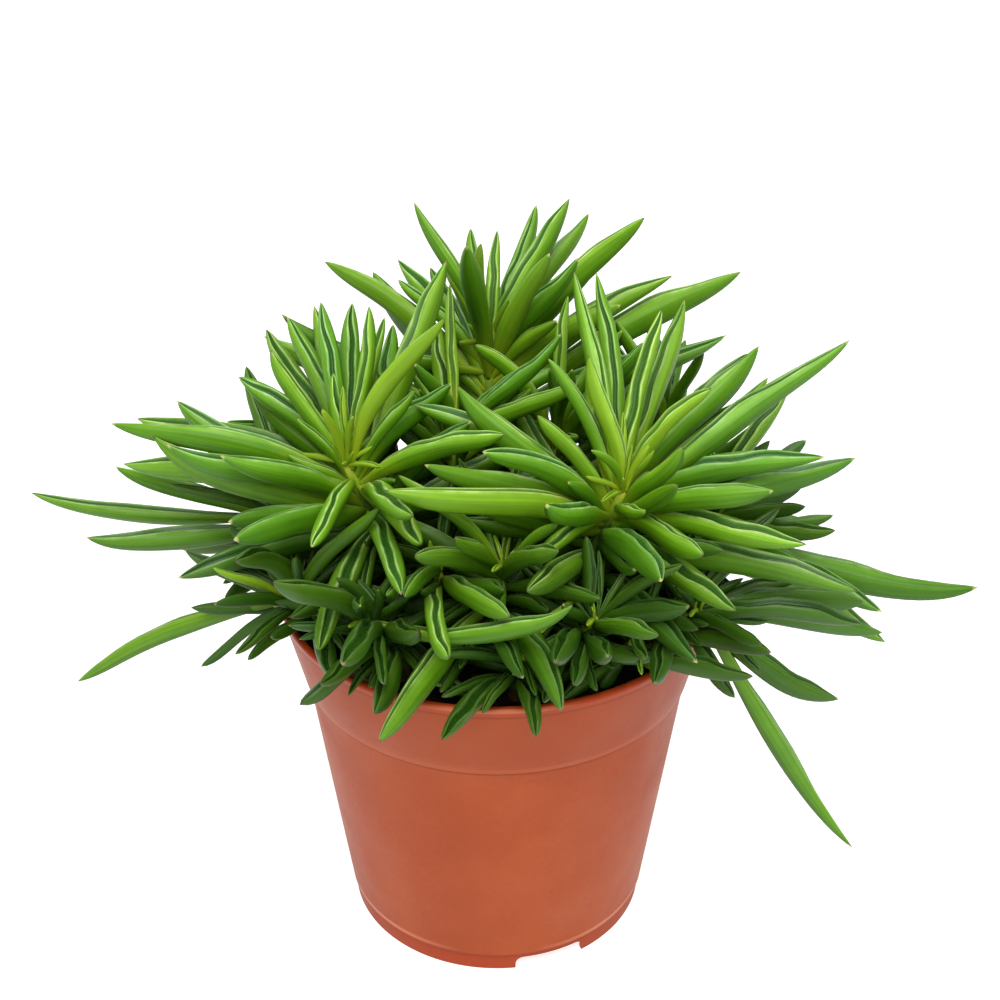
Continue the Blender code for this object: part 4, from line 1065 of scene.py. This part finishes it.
def smoothed(piece, angle):
    piece.data.shade_smooth()
    piece.data.set_sharp_from_angle(angle=math.radians(angle))


def cutOut(piece, tool):
    cut = piece.modifiers.new("cut", "BOOLEAN")
    cut.operation = "DIFFERENCE"
    cut.solver = "EXACT"
    cut.object = tool
    view = bpy.context.evaluated_depsgraph_get()
    mesh = bpy.data.meshes.new_from_object(piece.evaluated_get(view), depsgraph=view)
    whole = piece.data
    piece.modifiers.clear()
    piece.data = mesh
    bpy.data.meshes.remove(whole)
    bpy.data.objects.remove(tool)


def turned(outline, sides):
    bm = bmesh.new()
    verts = [bm.verts.new((radius, 0, height)) for radius, height in outline]
    edges = [bm.edges.new((verts[k], verts[(k + 1) % len(verts)])) for k in range(len(verts))]
    bmesh.ops.spin(bm, geom=verts + edges, cent=(0, 0, 0), axis=(0, 0, 1), angle=2 * math.pi, steps=sides,
                   use_merge=True)
    bmesh.ops.remove_doubles(bm, verts=bm.verts, dist=pot["merge"])
    return bm


def arc(center, radius, start, end, steps):
    points = []
    for k in range(steps + 1):
        angle = math.radians(start + (end - start) * k / steps)
        points.append((center[0] + radius * math.cos(angle), center[1] + radius * math.sin(angle)))
    return points


def notchTool(bm):
    bmesh.ops.create_cube(bm, size=1.0)
    bmesh.ops.scale(bm, verts=bm.verts, vec=(pot["notchDepth"], pot["notchWidth"], 2 * pot["notchHeight"]))
    corners = [edge for edge in bm.edges
               if all(v.co.z > 0 for v in edge.verts) and abs(edge.verts[0].co.y - edge.verts[1].co.y) < mm]
    bmesh.ops.bevel(bm, geom=corners, offset=pot["notchCorner"], segments=pot["notchSegments"], profile=0.5,
                    affect="EDGES", material=-1)


def drainTool(bm):
    bmesh.ops.create_cone(bm, cap_ends=True, segments=pot["drainSides"], radius1=pot["drainRadius"],
                          radius2=pot["drainRadius"], depth=pot["drainDepth"])


def cutRound(piece, makeTool, count, first, place):
    # the same opening, cut several times round the axis
    for k in range(count):
        bm = bmesh.new()
        makeTool(bm)
        turn = Matrix.Rotation(math.radians(first + 360 * k / count), 4, "Z")
        bm.transform(turn @ Matrix.Translation(place))
        cutOut(piece, newPiece("cutter", bm, [], True))


def makePot():
    lip = pot["lip"] / 2
    chamfer = pot["footChamfer"]
    footInside = pot["footRadius"] - pot["footWall"]
    outside = [
        (footInside, chamfer), (footInside + chamfer, 0.0), (pot["footRadius"] - chamfer, 0.0),
        (pot["footRadius"], chamfer), (pot["footRadius"], pot["bodyFoot"] - pot["footTuck"]),
    ]
    outside += arc((pot["bodyRadius"] - pot["bodyEdge"], pot["bodyFoot"]), pot["bodyEdge"], *pot["edgeArc"])
    low = (pot["bodyRadius"] + pot["bodyStart"][0], pot["bodyFoot"] + pot["bodyStart"][1])
    high = (pot["bandRadius"] - pot["ledge"], pot["bandFoot"] - pot["ledgeSlope"])
    stretch = pot["bodyRings"]
    outside += [tuple(a + (b - a) * k / stretch for a, b in zip(low, high)) for k in range(1, stretch + 1)]
    outside += [(pot["bandRadius"] + out, pot["bandFoot"] + up) for out, up in pot["bandEdge"]]
    outside += arc((pot["rimRadius"] - lip, pot["height"] - lip), lip, *pot["lipArc"])
    inside = wallInside()[1:] + [(0.0, pot["floorHigh"]), (0.0, pot["floorLow"]), (footInside, pot["floorLow"])]
    piece = newPiece("plastic_pot", turned(outside + inside, pot["sides"]), [potMaterial()], True)
    cutRound(piece, notchTool, pot["notches"], pot["notchFirst"], (pot["footRadius"], 0, 0))
    cutRound(piece, drainTool, pot["drains"], pot["drainFirst"], (pot["drainCircle"], 0, pot["floorHigh"]))
    smoothed(piece, pot["smoothAngle"])
    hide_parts("pot")
    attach(piece, "root")
    print("pot made")


crumbs = {
    "count": 420, "seed": 9, "size": (0.0005, 0.0017), "paleness": 3, "flatness": ((0.5, 1.0), (0.35, 0.8)),
    "rough": (0.75, 1.2), "stand": 0.25, "turn": (0, 6.28), "tilt": (-0.6, 0.6),
}


def makeSoil():
    heights = (pot["floorHigh"] + pot["gap"], pot["bandFoot"] - pot["innerSlope"],
               pot["bandFoot"] + pot["ledgeSlope"], soil["top"] - soil["edge"])
    side = [(potInside(height), height) for height in heights]
    topRadius = potInside(soil["top"]) - soil["edge"]
    top = [(topRadius * (1 - k / soil["rings"]), soil["top"]) for k in range(soil["rings"])]
    bm = turned([(0.0, heights[0])] + side + top + [(0.0, soil["top"])], soil["sides"])
    tint = bm.verts.layers.float.new("tint")
    for vert in bm.verts:
        if vert.co.z > soil["top"] - soil["edge"] / 2:
            grain = noise.fractal(vert.co / soil["grainSize"], *soil["grainNoise"])
            vert.co.z = soilHeight(vert.co.x, vert.co.y) + grain * soil["grain"]
    bmesh.ops.recalc_face_normals(bm, faces=bm.faces)
    draw = random.Random(crumbs["seed"])
    for _ in range(crumbs["count"]):
        radius = topRadius * math.sqrt(draw.random())
        turn = draw.uniform(0, 2 * math.pi)
        size = draw.uniform(*crumbs["size"])
        made = bmesh.ops.create_icosphere(bm, subdivisions=1, radius=size)["verts"]
        pale = draw.random() ** crumbs["paleness"]
        bmesh.ops.scale(bm, verts=made, vec=(1.0, *[draw.uniform(*pair) for pair in crumbs["flatness"]]))
        for vert in made:
            vert.co *= draw.uniform(*crumbs["rough"])
            vert[tint] = pale
        x = radius * math.cos(turn)
        y = radius * math.sin(turn)
        spot = Matrix.Translation((x, y, soilHeight(x, y) + size * crumbs["stand"]))
        spin = Matrix.Rotation(draw.uniform(*crumbs["turn"]), 4, "Z")
        tilt = Matrix.Rotation(draw.uniform(*crumbs["tilt"]), 4, "X")
        bmesh.ops.transform(bm, matrix=spot @ (spin @ tilt), verts=made)
    piece = newPiece("potting_soil", bm, [soilMaterial()])
    smoothed(piece, soil["smoothAngle"])
    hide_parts("soil")
    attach(piece, "root")
    print("soil made")


def makeChips():
    bark = barkMaterial()
    rough = chips["roughness"]
    for index, (x, y, length, turn) in enumerate(chips["rows"], 1):
        bm = bmesh.new()
        bmesh.ops.create_cube(bm, size=1.0)
        bmesh.ops.subdivide_edges(bm, edges=bm.edges, cuts=1, use_grid_fill=True)
        draw = random.Random(turn)
        noise.seed_set(turn)  # without a seed noise_vector follows the clock
        for vert in bm.verts:
            vert.co += Vector([draw.uniform(-rough, rough) for _ in range(3)])
        bmesh.ops.scale(bm, verts=bm.verts, vec=(length * mm, length * chips["width"] * mm, chips["thickness"]))
        bmesh.ops.rotate(bm, verts=bm.verts, cent=(0, 0, 0), matrix=Matrix.Rotation(math.radians(turn), 3, "Z"))
        bmesh.ops.translate(bm, verts=bm.verts, vec=(x * mm, y * mm, 0))
        lift = max(soilHeight(v.co.x, v.co.y) - v.co.z for v in bm.verts) + pot["gap"]
        bmesh.ops.translate(bm, verts=bm.verts, vec=(0, 0, lift))
        bmesh.ops.bevel(bm, geom=bm.edges, offset=chips["bevel"], segments=2, profile=0.5, affect="EDGES",
                        material=-1)
        bmesh.ops.subdivide_edges(bm, edges=bm.edges, cuts=2, use_grid_fill=True)
        for vert in bm.verts:
            vert.co += Vector(noise.noise_vector(vert.co * chips["grainScale"])) * chips["grain"]
        piece = newPiece("bark_chip_fine_%d" % index, bm, [bark], True)
        smoothed(piece, chips["smoothAngle"])
        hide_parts("bark_chip_%d" % index)
        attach(piece, "root")
    print("bark chips made")


def makeShoots():
    leaves, placed = growPlant()
    addSprigs(leaves, placed)
    straight = {"large": straightLeaf(fineLeaf["stations"]), "small": straightLeaf(fineLeaf["smallStations"])}
    materials = [leafMaterial(), stemMaterial()]
    draw = random.Random(fineLeaf["seed"])
    for name, shoot in shoots.items():
        bm = bmesh.new()
        for leaf in leaves[name]:
            if not hidesHeart(name, leaf):
                addLeaf(bm, straight, leaf, draw)
        addStem(bm, shoot)
        piece = newPiece(name + "_foliage", bm, materials)
        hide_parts(name)
        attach(piece, "root")
        print(name, "made,", len(leaves[name]), "leaves,", len(piece.data.polygons), "faces")


# The studio

studio = {
    "floorSize": 24.0, "floorColor": (0.58, 0.58, 0.58), "floorShade": 0.99, "paperNoise": (9.0, 3.0),
    "paperFrom": 0.3, "paperTo": 0.7,
    "floor": {"Roughness": 0.9, "Emission Color": (1, 1, 1, 1), "Emission Strength": 0.74},
    "worldColor": (1, 1, 1, 1), "worldSeen": 1.0, "worldLight": 0.58,
    "sun": {"place": (-0.10, -0.72, 1.75), "angle": 40, "power": 1.9},
    "key": {"place": (0.15, -0.90, 0.95), "size": 0.7, "power": 3.6},
    "lookAt": (0.0, 0.0, 0.12),
}

camera = {"place": (0.0009, -0.400, 0.3527), "lookAt": (0.0009, 0.0, 0.1294), "lens": 61.0, "sensor": 36.0}


def aimed(obj, place, target):
    obj.location = place
    obj.rotation_euler = (Vector(target) - Vector(place)).to_track_quat("-Z", "Y").to_euler()
    bpy.context.scene.collection.objects.link(obj)


def makeStudio():
    bm = bmesh.new()
    bmesh.ops.create_grid(bm, x_segments=1, y_segments=1, size=studio["floorSize"] / 2)
    material, tree, shader = startMaterial("pale floor", studio["floor"])
    paper = noiseAt(tree, objectPlace(tree), *studio["paperNoise"])
    shade = tuple(v * studio["floorShade"] for v in studio["floorColor"])
    color = ramp(tree, paper, [(studio["paperFrom"], shade), (studio["paperTo"], studio["floorColor"])])
    tree.links.new(color, shader.inputs["Base Color"])
    newPiece("floor", bm, [material])
    world = bpy.data.worlds.new("studio")
    world.use_nodes = True
    bpy.context.scene.world = world
    tree = world.node_tree
    background = tree.nodes["Background"]
    background.inputs["Color"].default_value = studio["worldColor"]
    seen = tree.nodes.new("ShaderNodeLightPath").outputs["Is Camera Ray"]
    strength = spread(tree, seen, 0.0, 1.0, studio["worldLight"], studio["worldSeen"])
    tree.links.new(strength, background.inputs["Strength"])
    sun = bpy.data.lights.new("sun", "SUN")
    sun.angle = math.radians(studio["sun"]["angle"])
    sun.energy = studio["sun"]["power"]
    aimed(bpy.data.objects.new("sun", sun), studio["sun"]["place"], studio["lookAt"])
    key = bpy.data.lights.new("key", "AREA")
    key.size = studio["key"]["size"]
    key.energy = studio["key"]["power"]
    aimed(bpy.data.objects.new("key", key), studio["key"]["place"], studio["lookAt"])
    lens = bpy.data.cameras.new("camera")
    lens.lens = camera["lens"]
    lens.sensor_width = camera["sensor"]
    eyepiece = bpy.data.objects.new("camera", lens)
    aimed(eyepiece, camera["place"], camera["lookAt"])
    bpy.context.scene.camera = eyepiece
    bpy.context.scene.view_settings.view_transform = "Standard"
    print("studio made")


makePot()
makeSoil()
makeChips()
makeShoots()
makeStudio()
